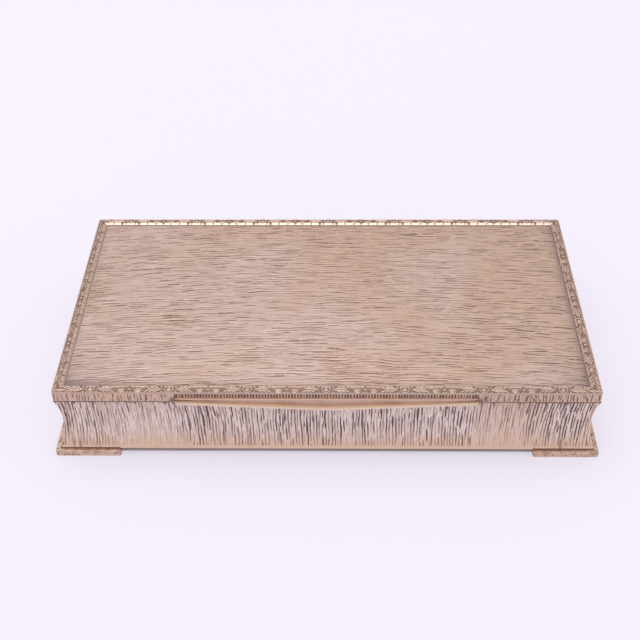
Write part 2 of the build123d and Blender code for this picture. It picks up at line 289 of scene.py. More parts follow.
def satin_bronze(name, clean_hex, tarnish_hex, cloud_mm, roughness, pit_mm=0.6, pitted=0.0):
    """Satin bronze with clouds of tarnish of a given size, and dark pits where it is pitted."""
    def build(tree, place):
        clouds = add(tree, "ShaderNodeTexNoise", {
            "Vector": place, "Scale": 1 / (cloud_mm * MM), "Detail": 4.0, "Roughness": 0.6})
        share = add(tree, "ShaderNodeMapRange", {
            "Value": clouds, "From Min": 0.42, "From Max": 0.68}, interpolation_type="SMOOTHSTEP")
        colour = add(tree, "ShaderNodeMix", {
            "Factor": share, "A": linear(clean_hex), "B": linear(tarnish_hex)}, data_type="RGBA")
        rubs = add(tree, "ShaderNodeTexNoise", {"Vector": place, "Scale": 1 / RUB_MARK, "Detail": 2.0})
        rough = add(tree, "ShaderNodeMapRange", {
            "Value": rubs, "From Min": 0.3, "From Max": 0.7,
            "To Min": roughness - 0.05, "To Max": roughness + 0.09})
        cells = add(tree, "ShaderNodeTexVoronoi", {
            "Vector": place, "Scale": 1 / (pit_mm * PIT_WIDTHS_APART * MM)}, output="Distance")
        pits = add(tree, "ShaderNodeMapRange", {
            "Value": cells, "From Min": 0.20, "From Max": 0.30, "To Min": pitted, "To Max": 0.0,
        }, interpolation_type="SMOOTHSTEP")
        pocked = add(tree, "ShaderNodeMix", {
            "Factor": pits, "A": colour, "B": linear("#6a5148")}, data_type="RGBA")
        bump = add(tree, "ShaderNodeBump", {"Strength": 0.2, "Distance": 0.04 * MM, "Height": rubs})
        return {"Base Color": pocked, "Roughness": rough, "Normal": bump}
    return material_of(name, build, Metallic=TARNISHED_METAL)


bezel_bronze = satin_bronze("satin_bronze_bezel", "#c9ac9a", "#b79984", 14.0, 0.42)
foot_bronze = satin_bronze("satin_bronze_feet", "#d6baa6", "#b49480", 2.4, 0.42, pit_mm=0.5, pitted=0.8)
hinge_bronze = satin_bronze("satin_bronze_hinge", "#c6a793", "#a3836f", 8.0, 0.35)
base_bronze = satin_bronze("satin_bronze_base", "#b99a87", "#9a7c6b", 22.0, 0.45)
print("satin bronze with rubbing marks of", RUB_MARK / MM, "mm")

# %% [markdown]
# The border is stamped from strip, patinated and rubbed like the rest, so it is dark in its
# ground and pale on its high points. All four strips lie at one height, so the height of a point
# says how much patina it holds, and the material reads it from Object coordinates. Two attributes
# add what height can't say: a pale painted highlight on the slopes and the outer edge, strongest
# on the back slope, which faces the lights, and where notches cross it.

# %% Stamped bronze for the border
border_low, border_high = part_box("border_front")
PANEL_TOP = border_low.z
GROUND_RISE = 0.40 * MM
WEAR_PATCH = 5 * MM
WEAR_SPREAD = 0.22 * MM
DARK_BELOW = 0.13 * MM
BRIGHT_PAST_TIP = 0.02 * MM
DIE_GRAIN = 0.3 * MM


def stamped(tree, place):
    """Dark at the height of the ground and bright at the height of the tips."""
    height = add(tree, "ShaderNodeSeparateXYZ", {"Vector": place}, output="Z")
    clouds = add(tree, "ShaderNodeTexNoise", {"Vector": place, "Scale": 1 / WEAR_PATCH, "Detail": 3.0})
    wear = add(tree, "ShaderNodeMath", {0: clouds, 1: WEAR_SPREAD, 2: height}, operation="MULTIPLY_ADD")
    lift = add(tree, "ShaderNodeMapRange", {
        "Value": wear, "From Min": PANEL_TOP + GROUND_RISE + DARK_BELOW,
        "From Max": border_high.z + BRIGHT_PAST_TIP}, interpolation_type="SMOOTHSTEP")
    struck = add(tree, "ShaderNodeMix", {
        "Factor": lift, "A": linear("#8f7366"), "B": linear("#d0b6a6")}, data_type="RGBA")
    bare, notched = (
        add(tree, "ShaderNodeAttribute", output="Fac", attribute_name=label) for label in ("bare", "patina"))
    # Pale painted highlight on the slopes and along the outer edge.
    sloped = add(tree, "ShaderNodeMix", {
        "Factor": bare, "A": struck, "B": linear("#f0dccb")}, data_type="RGBA")
    colour = add(tree, "ShaderNodeMix", {
        "Factor": notched, "A": sloped, "B": linear("#745a4f")}, data_type="RGBA")
    rough = add(tree, "ShaderNodeMapRange", {"Value": lift, "To Min": 0.52, "To Max": 0.30})
    grain = add(tree, "ShaderNodeTexNoise", {"Vector": place, "Scale": 1 / DIE_GRAIN, "Detail": 2.0})
    bump = add(tree, "ShaderNodeBump", {"Strength": 0.2, "Distance": 0.04 * MM, "Height": grain})
    return {"Base Color": colour, "Roughness": rough, "Normal": bump}


border_bronze = material_of("stamped_bronze_border", stamped, Metallic=TARNISHED_METAL)
print("border ground at", round((PANEL_TOP + GROUND_RISE) / MM, 2), "mm")

# %% [markdown]
# Cedar is the usual lining of a cigarette box: a soft reddish wood, planed and left bare. Its
# grain runs along each board, with narrow darker latewood lines a millimetre or two apart, so
# the same recipe is turned to follow the boards that run from front to back.

# %% Cedar
LATEWOOD = 2.2 * MM
FIGURE_LENGTH = 60.0 * MM


def cedar(name, along_x):
    """Planed cedar with its grain along X or along Y."""
    long_scale, cross_scale = 1 / FIGURE_LENGTH, 1 / LATEWOOD
    scale = (long_scale, cross_scale, cross_scale) if along_x else (cross_scale, long_scale, cross_scale)

    def build(tree, place):
        combed = add(tree, "ShaderNodeMapping", {"Vector": place, "Scale": scale})
        rings = add(tree, "ShaderNodeTexNoise", {
            "Vector": combed, "Scale": 1.0, "Detail": 3.0, "Roughness": 0.6})
        pores = add(tree, "ShaderNodeTexNoise", {"Vector": combed, "Scale": 4.0, "Detail": 2.0})
        ring_share = add(tree, "ShaderNodeMapRange", {
            "Value": rings, "From Min": 0.35, "From Max": 0.65}, interpolation_type="SMOOTHSTEP")
        pore_share = add(tree, "ShaderNodeMapRange", {
            "Value": pores, "From Min": 0.55, "From Max": 0.80, "To Max": 0.6,
        }, interpolation_type="SMOOTHSTEP")
        wood = add(tree, "ShaderNodeMix", {
            "Factor": ring_share, "A": linear("#a8693f"), "B": linear("#8a4f30")}, data_type="RGBA")
        colour = add(tree, "ShaderNodeMix", {
            "Factor": pore_share, "A": wood, "B": linear("#5e3522")}, data_type="RGBA")
        rough = add(tree, "ShaderNodeMapRange", {"Value": rings, "To Min": 0.55, "To Max": 0.78})
        bump = add(tree, "ShaderNodeBump", {"Strength": 0.3, "Distance": 0.08 * MM, "Height": pores})
        return {"Base Color": colour, "Roughness": rough, "Normal": bump}
    return material_of(name, build)


cedar_along = cedar("cedar_grain_along", True)
cedar_across = cedar("cedar_grain_across", False)
print("cedar with latewood lines", LATEWOOD / MM, "mm apart")

# %% [markdown]
# These nodes are right as solids: flat plates, strips, boards and the hinge. They keep their CAD
# shape and take a finish in their material slot.

# %% Finish on the plain nodes
SIDES = ("front", "right", "back", "left")
PLAIN = {
    base_bronze: ["base_plate"],
    hinge_bronze: ["case_hinge_knuckles", "lid_hinge_knuckles", "hinge_pin"],
    bezel_bronze: [f"bezel_{side}" for side in SIDES],
    foot_bronze: [f"foot_{row}_{hand}" for row in ("front", "back") for hand in ("left", "right")],
    cedar_along: ["liner_floor", "liner_front", "liner_back", "lid_liner"],
    cedar_across: ["liner_left", "liner_right", "liner_divider"],
}
for finish, names in PLAIN.items():
    for name in names:
        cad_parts[name].data.materials.clear()
        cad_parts[name].data.materials.append(finish)
print("finished", sum(len(names) for names in PLAIN.values()), "plain nodes")

# %% [markdown]
# Every wall of the box is the same kind of piece: a section drawn through the wall and carried
# along one side, with its ends cut at 45 degrees. The frame gives the outline of the lid, and a
# point of a wall is named by how far it lies along the side, how far in, and how high.

# %% The four sides
lid_low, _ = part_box("lid_skirt_front")
_, lid_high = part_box("lid_skirt_back")
LID_LENGTH = lid_high.x - lid_low.x
LID_DEPTH = lid_high.y - lid_low.y


def side_axes(side):
    """Corner, direction along, direction inwards and length of one side of the lid's outline."""
    quarter = SIDES.index(side)
    length, depth = (LID_LENGTH, LID_DEPTH) if quarter % 2 == 0 else (LID_DEPTH, LID_LENGTH)
    spin = Matrix.Rotation(math.radians(90 * quarter), 3, "Z")
    corner = spin @ Vector((-length / 2, -depth / 2, 0))
    return np.array(corner), np.array(spin @ Vector((1, 0, 0))), np.array(spin @ Vector((0, 1, 0))), length


def place_on_side(side, along, inset, height):
    """Points in the frame from arrays of distance along, inset and height."""
    corner, run, inwards, _ = side_axes(side)
    flat = corner + along[..., None] * run + inset[..., None] * inwards
    flat[..., 2] = height
    return flat


LID_CORNER_RADIUS = 1.2 * MM


def round_lid_corners(points):
    """Draws the points that lie beyond the lid's rounded corners in to the round."""
    centre = np.array([LID_LENGTH / 2, LID_DEPTH / 2]) - LID_CORNER_RADIUS
    size = np.abs(points[..., :2])
    past = np.clip(size - centre, 0, None)
    reach = np.maximum(np.linalg.norm(past, axis=-1, keepdims=True), LID_CORNER_RADIUS)
    points[..., :2] = np.sign(points[..., :2]) * (np.minimum(size, centre) + past * LID_CORNER_RADIUS / reach)
    return points


print("lid outline, mm", round(LID_LENGTH / MM, 1), round(LID_DEPTH / MM, 1))

# %% [markdown]
# A wall's mesh is a grid: columns along the side and rows round the section. Each point knows its
# flow, which is its place on the flattened sheet in millimetres, the direction out of the metal,
# and how hard it was worked. The grooves are cut afterwards from these three. Near a corner the
# columns draw together, so that every row ends on the mitre.

# %% Mesh of a mitred strip
MITRE_ZONE = 6 * MM
END_FADE = 0.5 * MM


def ramp(distance, width):
    """0 up to a line, and 1 from a width past it."""
    return np.clip(distance / width, 0, 1)


def squeeze_to_mitre(along, inset, length):
    """Draws the columns near each end in, so that the end of every row lies on the mitre."""
    start = inset + (MITRE_ZONE - inset) * along / MITRE_ZONE
    end = length - inset - (MITRE_ZONE - inset) * (length - along) / MITRE_ZONE
    squeezed = np.where(along < MITRE_ZONE, start, along)
    return np.where(along > length - MITRE_ZONE, end, squeezed)


def add_mesh(name, points, faces, **attributes):
    """Links an object made of points and faces, with point attributes, its faces turned outwards."""
    mesh = bpy.data.meshes.new(name)
    mesh.from_pydata(points.reshape(-1, 3).tolist(), [], faces)
    for label, values in attributes.items():
        vector = values.ndim > 1 and values.shape[-1] == 3
        attribute = mesh.attributes.new(label, "FLOAT_VECTOR" if vector else "FLOAT", "POINT")
        attribute.data.foreach_set("vector" if vector else "value", values.astype(np.float32).ravel())
    solid = bmesh.new()
    solid.from_mesh(mesh)
    bmesh.ops.recalc_face_normals(solid, faces=solid.faces)
    solid.to_mesh(mesh)
    solid.free()
    piece = bpy.data.objects.new(name, mesh)
    scene.collection.objects.link(piece)
    return piece


def mitred_strip(name, side, along, inset, height, worked_rows, out_in, out_up, lean=0.0, rounded=True,
                 **attributes):
    """Closed strip along a side. Its first rows are worked and the rest are plain."""
    _, _, inwards, length = side_axes(side)
    rows, columns = inset.shape
    place = squeeze_to_mitre(np.broadcast_to(along, inset.shape), inset, length)
    points = place_on_side(side, place, inset, height)
    if rounded:
        points = round_lid_corners(points)
    index = np.arange(rows * columns).reshape(rows, columns)
    below = np.roll(index, -1, axis=0)
    quads = np.stack([index[:, :-1], index[:, 1:], below[:, 1:], below[:, :-1]], axis=-1).reshape(-1, 4)
    faces = quads.tolist() + [index[:, 0].tolist(), index[::-1, -1].tolist()]
    flat_along = (place - lean * (height - height.mean())) / MM
    flow = np.stack([flat_along, height / MM, np.zeros_like(place)], axis=-1)
    face_out = np.zeros(points.shape)
    face_out[:worked_rows] = out_in[..., None] * inwards
    face_out[:worked_rows, :, 2] = out_up
    ends = ramp(np.minimum(along, length - along), END_FADE)
    for label, values in attributes.items():
        padded = np.zeros(inset.shape)
        padded[:len(values)] = values * (ends if label in ("worked", "reeded") else 1)
        attributes[label] = padded
    return add_mesh(name, points, faces, flow=flow, face_out=face_out, **attributes)


print("columns draw together over the last", MITRE_ZONE / MM, "mm of a side")

# %% [markdown]
# The bark is one Geometry Nodes tree, because a rule makes it. On the real box each groove is one
# stroke of a chasing tool: narrow, pointed at both ends, a little longer or shorter and a little
# turned against its neighbours. The tree scatters such strokes on the flattened sheet, as thin
# lens shapes in millimetres, and asks for every point of the wall how far the nearest stroke is.
# Inside a stroke the point sinks. Just beside it the pushed metal stands up as a small burr.

# %% Chasing tree
LENS_SIDES = 10
SPARE_STROKES = 3.0
BURR_REACH = 2.4


def build_chasing_tree():
    """Tree that chases strokes into a mesh along its flow attribute."""
    tree = bpy.data.node_groups.new("chased_strokes", "GeometryNodeTree")
    tree.interface.new_socket(name="Geometry", in_out="INPUT", socket_type="NodeSocketGeometry")
    for name, value in (
        ("Spacing mm", 1.1), ("Pitch mm", 9.0), ("Length mm", 11.0), ("Width mm", 0.4), ("Edge mm", 0.25),
        ("Depth mm", 0.25), ("Burr mm", 0.05), ("Turn degrees", 4.0), ("Jitter", 0.8), ("Waver mm", 0.8),
        ("Waver length mm", 9.0), ("Force spread", 0.6),
    ):
        socket = tree.interface.new_socket(name=name, in_out="INPUT", socket_type="NodeSocketFloat")
        socket.default_value = value
    tree.interface.new_socket(name="Seed", in_out="INPUT", socket_type="NodeSocketInt")
    where = tree.interface.new_socket(name="Where", in_out="INPUT", socket_type="NodeSocketString")
    where.default_value = "worked"
    tree.interface.new_socket(name="Material", in_out="INPUT", socket_type="NodeSocketMaterial")
    tree.interface.new_socket(name="Geometry", in_out="OUTPUT", socket_type="NodeSocketGeometry")
    given = tree.nodes.new("NodeGroupInput").outputs

    flow, face_out = (
        add(tree, "GeometryNodeInputNamedAttribute", {"Name": label}, data_type="FLOAT_VECTOR")
        for label in ("flow", "face_out"))
    worked, before = (
        add(tree, "GeometryNodeInputNamedAttribute", {"Name": label}, data_type="FLOAT")
        for label in (given["Where"], "patina"))
    seeds = [given["Seed"]] + [
        add(tree, "ShaderNodeMath", {0: given["Seed"], 1: more}, operation="ADD")
        for more in (1.0, 2.0, 3.0, 4.0)]

    # A grid of spots covers the flattened sheet, a little over its edges
    sheet = add(tree, "GeometryNodeAttributeStatistic", {
        "Geometry": given["Geometry"], "Attribute": flow}, output=0, data_type="FLOAT_VECTOR").node
    lowest, extent = (
        next(s for s in sheet.outputs if s.enabled and s.name == label) for label in ("Min", "Range"))
    size = add(tree, "ShaderNodeSeparateXYZ", {"Vector": extent}).node.outputs
    counts, spans = [], []
    for axis, pitch in enumerate(("Spacing mm", "Pitch mm")):
        fits = add(tree, "ShaderNodeMath", {0: size[axis], 1: given[pitch]}, operation="DIVIDE")
        counts.append(add(tree, "ShaderNodeMath", {0: fits, 1: SPARE_STROKES}, operation="ADD"))
        whole = add(tree, "ShaderNodeMath", {0: counts[axis]}, operation="FLOOR")
        gaps = add(tree, "ShaderNodeMath", {0: whole, 1: 1.0}, operation="SUBTRACT")
        spans.append(add(tree, "ShaderNodeMath", {0: gaps, 1: given[pitch]}, operation="MULTIPLY"))
    grid = add(tree, "GeometryNodeMeshGrid", {
        "Size X": spans[0], "Size Y": spans[1], "Vertices X": counts[0], "Vertices Y": counts[1]})
    half = add(tree, "ShaderNodeVectorMath", {0: extent, "Scale": 0.5}, operation="SCALE")
    middle = add(tree, "ShaderNodeVectorMath", {0: lowest, 1: half}, operation="ADD")

    # Each spot is thrown off its place, and each row of spots starts at a place of its own
    reach = add(tree, "ShaderNodeCombineXYZ", {"X": given["Spacing mm"], "Y": given["Pitch mm"]})
    thrown = add(tree, "FunctionNodeRandomValue", {
        "Min": (-0.5, -0.5, 0.0), "Max": (0.5, 0.5, 0.0), "Seed": seeds[0]}, data_type="FLOAT_VECTOR")
    scattered = add(tree, "ShaderNodeVectorMath", {0: thrown, 1: reach}, operation="MULTIPLY")
    spread = add(tree, "ShaderNodeVectorMath", {0: scattered, "Scale": given["Jitter"]}, operation="SCALE")
    across = add(tree, "ShaderNodeSeparateXYZ", {
        "Vector": add(tree, "GeometryNodeInputPosition")}, output="X")
    row = add(tree, "ShaderNodeMath", {0: across, 1: given["Spacing mm"]}, operation="DIVIDE")
    start = add(tree, "FunctionNodeRandomValue", {
        "Min": -0.5, "Max": 0.5, "ID": add(tree, "ShaderNodeMath", {0: row}, operation="ROUND"),
        "Seed": seeds[4]}, data_type="FLOAT")
    slide = add(tree, "ShaderNodeCombineXYZ", {
        "Y": add(tree, "ShaderNodeMath", {0: start, 1: given["Pitch mm"]}, operation="MULTIPLY")})
    moved_in = add(tree, "ShaderNodeVectorMath", {0: middle, 1: spread}, operation="ADD")
    shift = add(tree, "ShaderNodeVectorMath", {0: moved_in, 1: slide}, operation="ADD")
    spots = add(tree, "GeometryNodeSetPosition", {"Geometry": grid, "Offset": shift})

    # A stroke is a thin lens with a force, a size and a turn of its own
    weakest = add(tree, "ShaderNodeMath", {0: 1.0, 1: given["Force spread"]}, operation="SUBTRACT")
    force = add(tree, "FunctionNodeRandomValue", {
        "Min": weakest, "Max": 1.0, "Seed": seeds[1]}, data_type="FLOAT")
    struck = add(tree, "GeometryNodeStoreNamedAttribute", {
        "Geometry": spots, "Name": "force", "Value": force}, data_type="FLOAT", domain="POINT")
    lens = add(tree, "GeometryNodeMeshCircle", {"Vertices": LENS_SIDES, "Radius": 0.5}, fill_type="NGON")
    sizes = add(tree, "FunctionNodeRandomValue", {
        "Min": (0.55, 0.45, 1.0), "Max": (1.35, 1.30, 1.0), "Seed": seeds[2]}, data_type="FLOAT_VECTOR")
    lens_size = add(tree, "ShaderNodeCombineXYZ", {
        "X": given["Width mm"], "Y": given["Length mm"], "Z": 1.0})
    turn_most = add(tree, "ShaderNodeMath", {0: given["Turn degrees"]}, operation="RADIANS")
    turn_share = add(tree, "FunctionNodeRandomValue", {
        "Min": -1.0, "Max": 1.0, "Seed": seeds[3]}, data_type="FLOAT")
    turned = add(tree, "ShaderNodeMath", {0: turn_most, 1: turn_share}, operation="MULTIPLY")
    strokes = add(tree, "GeometryNodeInstanceOnPoints", {
        "Points": struck, "Instance": lens,
        "Rotation": add(tree, "ShaderNodeCombineXYZ", {"Z": turned}),
        "Scale": add(tree, "ShaderNodeVectorMath", {0: sizes, 1: lens_size}, operation="MULTIPLY"),
    })
    strokes = add(tree, "GeometryNodeRealizeInstances", {"Geometry": strokes})

    # The hand wavers, so the sheet is asked a little to one side
    fineness = add(tree, "ShaderNodeMath", {0: 1.0, 1: given["Waver length mm"]}, operation="DIVIDE")
    place = add(tree, "ShaderNodeVectorMath", {0: flow, "Scale": fineness}, operation="SCALE")
    waver = add(tree, "ShaderNodeTexNoise", {"Vector": place, "Scale": 1.0, "Detail": 1.0})
    about = add(tree, "ShaderNodeMath", {0: waver, 1: 0.5}, operation="SUBTRACT")
    swing = add(tree, "ShaderNodeMath", {0: about, 1: given["Waver mm"]}, operation="MULTIPLY")
    sample = add(tree, "ShaderNodeVectorMath", {
        0: flow, 1: add(tree, "ShaderNodeCombineXYZ", {"X": swing})}, operation="ADD")
    gap = add(tree, "GeometryNodeProximity", {
        "Geometry": strokes, "Sample Position": sample}, output="Distance", target_element="FACES")
    hit = add(tree, "GeometryNodeSampleNearestSurface", {
        "Mesh": strokes, "Sample Position": sample,
        "Value": add(tree, "GeometryNodeInputNamedAttribute", {"Name": "force"}, data_type="FLOAT"),
    }, data_type="FLOAT")

    # A point in a stroke sinks, and one just beside it rises
    cut = add(tree, "ShaderNodeMapRange", {
        "Value": gap, "From Min": 0.0, "From Max": given["Edge mm"], "To Min": 1.0, "To Max": 0.0,
    }, interpolation_type="SMOOTHSTEP")
    forced = add(tree, "ShaderNodeMath", {0: cut, 1: hit}, operation="MULTIPLY")
    depth = add(tree, "ShaderNodeMath", {0: forced, 1: worked}, operation="MULTIPLY")
    burr_far = add(tree, "ShaderNodeMath", {0: given["Edge mm"], 1: BURR_REACH}, operation="MULTIPLY")
    burr_fall = add(tree, "ShaderNodeMapRange", {
        "Value": gap, "From Min": given["Edge mm"], "From Max": burr_far, "To Min": 1.0, "To Max": 0.0,
    }, interpolation_type="SMOOTHSTEP")
    beside = add(tree, "ShaderNodeMath", {0: burr_fall, 1: cut}, operation="SUBTRACT")
    burr = add(tree, "ShaderNodeMath", {0: beside, 1: worked}, operation="MULTIPLY")
    sink = add(tree, "ShaderNodeMath", {0: depth, 1: given["Depth mm"]}, operation="MULTIPLY")
    rise = add(tree, "ShaderNodeMath", {0: burr, 1: given["Burr mm"]}, operation="MULTIPLY")
    outwards = add(tree, "ShaderNodeMath", {0: rise, 1: sink}, operation="SUBTRACT")
    travel = add(tree, "ShaderNodeMath", {0: outwards, 1: MM}, operation="MULTIPLY")
    moved = add(tree, "GeometryNodeSetPosition", {
        "Geometry": given["Geometry"],
        "Offset": add(tree, "ShaderNodeVectorMath", {0: face_out, "Scale": travel}, operation="SCALE"),
    })
    darkest = add(tree, "ShaderNodeMath", {0: depth, 1: before}, operation="MAXIMUM")
    kept = add(tree, "GeometryNodeStoreNamedAttribute", {
        "Geometry": moved, "Name": "patina", "Value": darkest}, data_type="FLOAT", domain="POINT")
    whole = add(tree, "GeometryNodeRealizeInstances", {"Geometry": kept})
    finished = add(tree, "GeometryNodeSetMaterial", {"Geometry": whole, "Material": given["Material"]})
    add(tree, "NodeGroupOutput", {0: finished})
    return tree


chasing = build_chasing_tree()
print("chasing tree has", len(chasing.nodes), "nodes")

# %% [markdown]
# A tree is run as a modifier with its inputs set by their identifiers. What comes out is kept as a
# plain mesh and the modifier goes, so that the piece can ride its body. Smooth shading with sharp
# edges by angle keeps the strokes soft and the sheet's edges crisp.

# %% Run a tree on a piece
def run_tree(piece, tree, **values):
    """Runs a tree on a piece with its named inputs, and keeps the result as a plain mesh."""
    modifier = piece.modifiers.new(tree.name, "NODES")
    modifier.node_group = tree
    sockets = {
        s.name.replace(" ", "_"): s.identifier for s in tree.interface.items_tree if s.in_out == "INPUT"}
    for name, value in values.items():
        modifier[sockets[name]] = value
    graph = bpy.context.evaluated_depsgraph_get()
    mesh = bpy.data.meshes.new_from_object(
        piece.evaluated_get(graph), preserve_all_data_layers=True, depsgraph=graph)
    piece.modifiers.remove(modifier)
    piece.data = mesh


def finish_piece(piece, body, slot, *nodes, smooth_degrees=50):
    """Shades a finished piece and sets it in the frame in place of its solids."""
    piece.data.shade_smooth()
    piece.data.set_sharp_from_angle(angle=math.radians(smooth_degrees))
    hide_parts(*nodes)
    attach(piece, body)
    print(piece.name, len(piece.data.polygons), "faces")


# %% [markdown]
# The case walls are bent sheet: two arcs that meet upright at the waist, hollow to the outside,
# and the same curve one sheet further in. The arcs are worked out from the waist and the two ends
# of the section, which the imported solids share.

# %% Cove section
wall_low, wall_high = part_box("front_panel")
SHEET = 1.5 * MM
WAIST_HEIGHT = 14.5 * MM
WAIST_INSET = 2.13 * MM
RIM_INSET = 0.12 * MM
BODY_BOTTOM = wall_low.z
BODY_TOP = wall_high.z
FLARE = lid_low.y - wall_low.y


def arc_radius(end_inset, end_height):
    """Radius of the arc from the waist, where it is upright, to one end."""
    sag = WAIST_INSET - end_inset
    rise = end_height - WAIST_HEIGHT
    return (rise**2 + sag**2) / (2 * sag)


UPPER_RADIUS = arc_radius(RIM_INSET, BODY_TOP)
LOWER_RADIUS = arc_radius(-FLARE, BODY_BOTTOM)


def cove_radius(height):
    """Radius of the arc that a height lies on."""
    return np.where(height > WAIST_HEIGHT, UPPER_RADIUS, LOWER_RADIUS)


def cove_inset(height, behind=0.0):
    """Inset of the cove's face at a height, or of the parallel face behind it."""
    radius = cove_radius(height)
    return WAIST_INSET - radius + np.sqrt((radius + behind) ** 2 - (height - WAIST_HEIGHT) ** 2)


def cove_outwards(height):
    """Outward direction of the cove's face, as its share inwards and its share upwards."""
    rise = (height - WAIST_HEIGHT) / cove_radius(height)
    return -np.sqrt(1 - rise**2), -rise


print("arcs, mm", round(UPPER_RADIUS / MM, 1), round(LOWER_RADIUS / MM, 1))

# %% [markdown]
# The front wall has the thumb scoop: its top edge drops at both ends of the bay and dips between
# them in a wide V with a rounded middle. At the back the barrel of the hinge turns in a round
# gutter, which is cut from the back wall and from the ends of the side walls and skirts.

# %% Thumb bay and hinge gutter
BAY_HALF = 55.95 * MM
LIP_HALF = BAY_HALF - 1.3 * MM
SCOOP_END_DROP = 1.7 * MM
SCOOP_MIDDLE_DROP = 5.25 * MM
SCOOP_MIDDLE_RADIUS = 150 * MM
BAY_STEP = 0.2 * MM
pin_low, pin_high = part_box("hinge_pin")
HINGE_INSET = lid_high.y - (pin_low.y + pin_high.y) / 2
HINGE_Z = (pin_low.z + pin_high.z) / 2
GUTTER_RADIUS = 1.7 * MM


def scoop_top(x):
    """Height of the front wall's top edge at a distance from the middle."""
    slope = (SCOOP_MIDDLE_DROP - SCOOP_END_DROP) / BAY_HALF
    lowest = BODY_TOP - SCOOP_MIDDLE_DROP
    steep = math.sqrt(1 + slope**2)
    round_half = SCOOP_MIDDLE_RADIUS * slope / steep
    from_middle = np.clip(np.abs(x), 0, round_half)
    rounded = SCOOP_MIDDLE_RADIUS * steep - np.sqrt(SCOOP_MIDDLE_RADIUS**2 - from_middle**2)
    edge = lowest + np.where(np.abs(x) < round_half, rounded, slope * np.abs(x))
    return np.where(np.abs(x) <= BAY_HALF, edge, BODY_TOP)


def gutter_half(inset):
    """Half the gutter's opening at an inset from the back."""
    return np.sqrt(np.clip(GUTTER_RADIUS**2 - (inset - HINGE_INSET) ** 2, 0, None))


def gutter_rise(side, along, inset):
    """Half the gutter's opening where a side piece runs into it at the back, and 0 elsewhere."""
    length = side_axes(side)[3]
    place = squeeze_to_mitre(along, inset, length)
    return gutter_half(length - place if side == "right" else place)


def columns_along(side, step):
    """Distances along a side, with a pair on each end of the bay where the front steps."""
    length = side_axes(side)[3]
    even = np.linspace(0, length, round(length / step) + 1)
    if side != "front":
        return even
    ends = [
        length / 2 + hand * (half + way * BAY_STEP)
        for hand in (-1, 1) for half in (BAY_HALF, LIP_HALF) for way in (0, 1)
    ]
    return np.unique(np.concatenate([even, ends]))


print("bay, mm", round(2 * BAY_HALF / MM, 1), "scoop at", round(float(scoop_top(np.array(0.0))) / MM, 2))

# %% [markdown]
# A wall's section starts at its foot, goes up the hollow outer face, over the rim and down the
# inner face. What the rim is depends on the side: the rolled edge of the scoop in front, the round
# of the gutter at the back, and nothing but the corner of the sheet on the left and right.

# %% Section of a case wall
WALL_STEP = 0.15 * MM
EXTRA_SHARES = (0.008, 0.016, 0.034, 0.97, 0.985, 0.993)
WALL_SHARES = np.sort(np.concatenate([np.linspace(0, 1, 44), EXTRA_SHARES]))
WALL_ROWS = len(WALL_SHARES)
INNER_ROWS = 6
SCOOP_EDGE = ((0.10, 0.06), (0.50, 0.34), (0.95, 0.52), (1.42, 0.56))
GUTTER_LIP = 0.9 * MM
GUTTER_SHARES = np.linspace(0.15, 0.85, 5)


def wall_tops(side, along, x):
    """Heights of the top edge of a wall's outer face and of its inner face."""
    if side == "front":
        return scoop_top(x), scoop_top(x)
    if side == "back":
        outer_inset = float(cove_inset(HINGE_Z - GUTTER_RADIUS / 2))
        ends = (outer_inset, HINGE_INSET + GUTTER_LIP)
        return [np.full_like(along, HINGE_Z - gutter_half(inset)) for inset in ends]
    insets = (RIM_INSET, RIM_INSET + SHEET)
    return [np.minimum(BODY_TOP, HINGE_Z - gutter_rise(side, along, inset)) for inset in insets]


def wall_rim(side, x, inset, top, inner_top):
    """Insets and heights of the rows between the two faces of a wall."""
    if side == "front":
        over, up = np.array(SCOOP_EDGE).T[..., None] * MM
        return inset + over, top + np.where(np.abs(x) <= BAY_HALF, up, 0.0)
    if side == "back":
        first = np.arctan2(top - HINGE_Z, inset - HINGE_INSET)
        last = np.arctan2(inner_top - HINGE_Z, GUTTER_LIP)
        sweep = first + (last - first) * GUTTER_SHARES[:, None]
        return HINGE_INSET + GUTTER_RADIUS * np.cos(sweep), HINGE_Z + GUTTER_RADIUS * np.sin(sweep)
    return np.empty((0, len(x))), np.empty((0, len(x)))


print("wall section has", WALL_ROWS, "rows outside and", INNER_ROWS, "inside")

# %% [markdown]
# No two parts of a hand-chased wall look alike. The ridges shine where the maker rubbed them, the
# strokes go quiet beside the bay, and near the ends they lean. Patina also gathers without any
# stroke: over the feet, along the joint with the base, and in blots under the lid's seam. The joint
# is painted deeper over the feet, partly as painted shade where the wall meets the foot, and a thin
# painted shadow line runs under the seam. These places are read off the photograph along the front
# wall, in millimetres from its middle.

# %% Finish along a case wall
RUBBED = ((-90, 8), (-75, 5), (-60, 6), (-50, 5), (-30, 13), (-6, 13), (16, 13), (36, 10), (51, 6), (89, 9))
QUIET = ((-66, 14, 0.55), (66, 10, 0.45), (-88, 8, 0.15))
LEAN = ((-100, -50, -20, 50, 75, 100), (0.00, -0.06, -0.02, 0.01, 0.06, 0.06))
FOOT_REACH = 23.0 * MM
FOOT_MARGIN = 0.8 * MM
SCOOP_MARGIN = 0.15 * MM
JOINT_LINE = 0.25 * MM
FOOT_SHADE_LINE = 0.35 * MM
SEAM_SHADOW_LINE = 0.35 * MM
BLOT_STEP = 0.55 * MM


def rubbing(x):
    """How hard the ridges were rubbed along a wall, from a few places where they shine."""
    total = sum(np.exp(-((x / MM - middle) / half) ** 2) for middle, half in RUBBED)
    return np.clip(0.35 + 0.75 * total, 0, 1)


def force_along(x, share):
    """How deep the strokes go along the front wall: less in its quiet places, and least low down."""
    calm = sum(most * np.exp(-(((x / MM - middle) / half) ** 4)) for middle, half, most in QUIET)
    return 1 - calm * (1 - 0.6 * share)


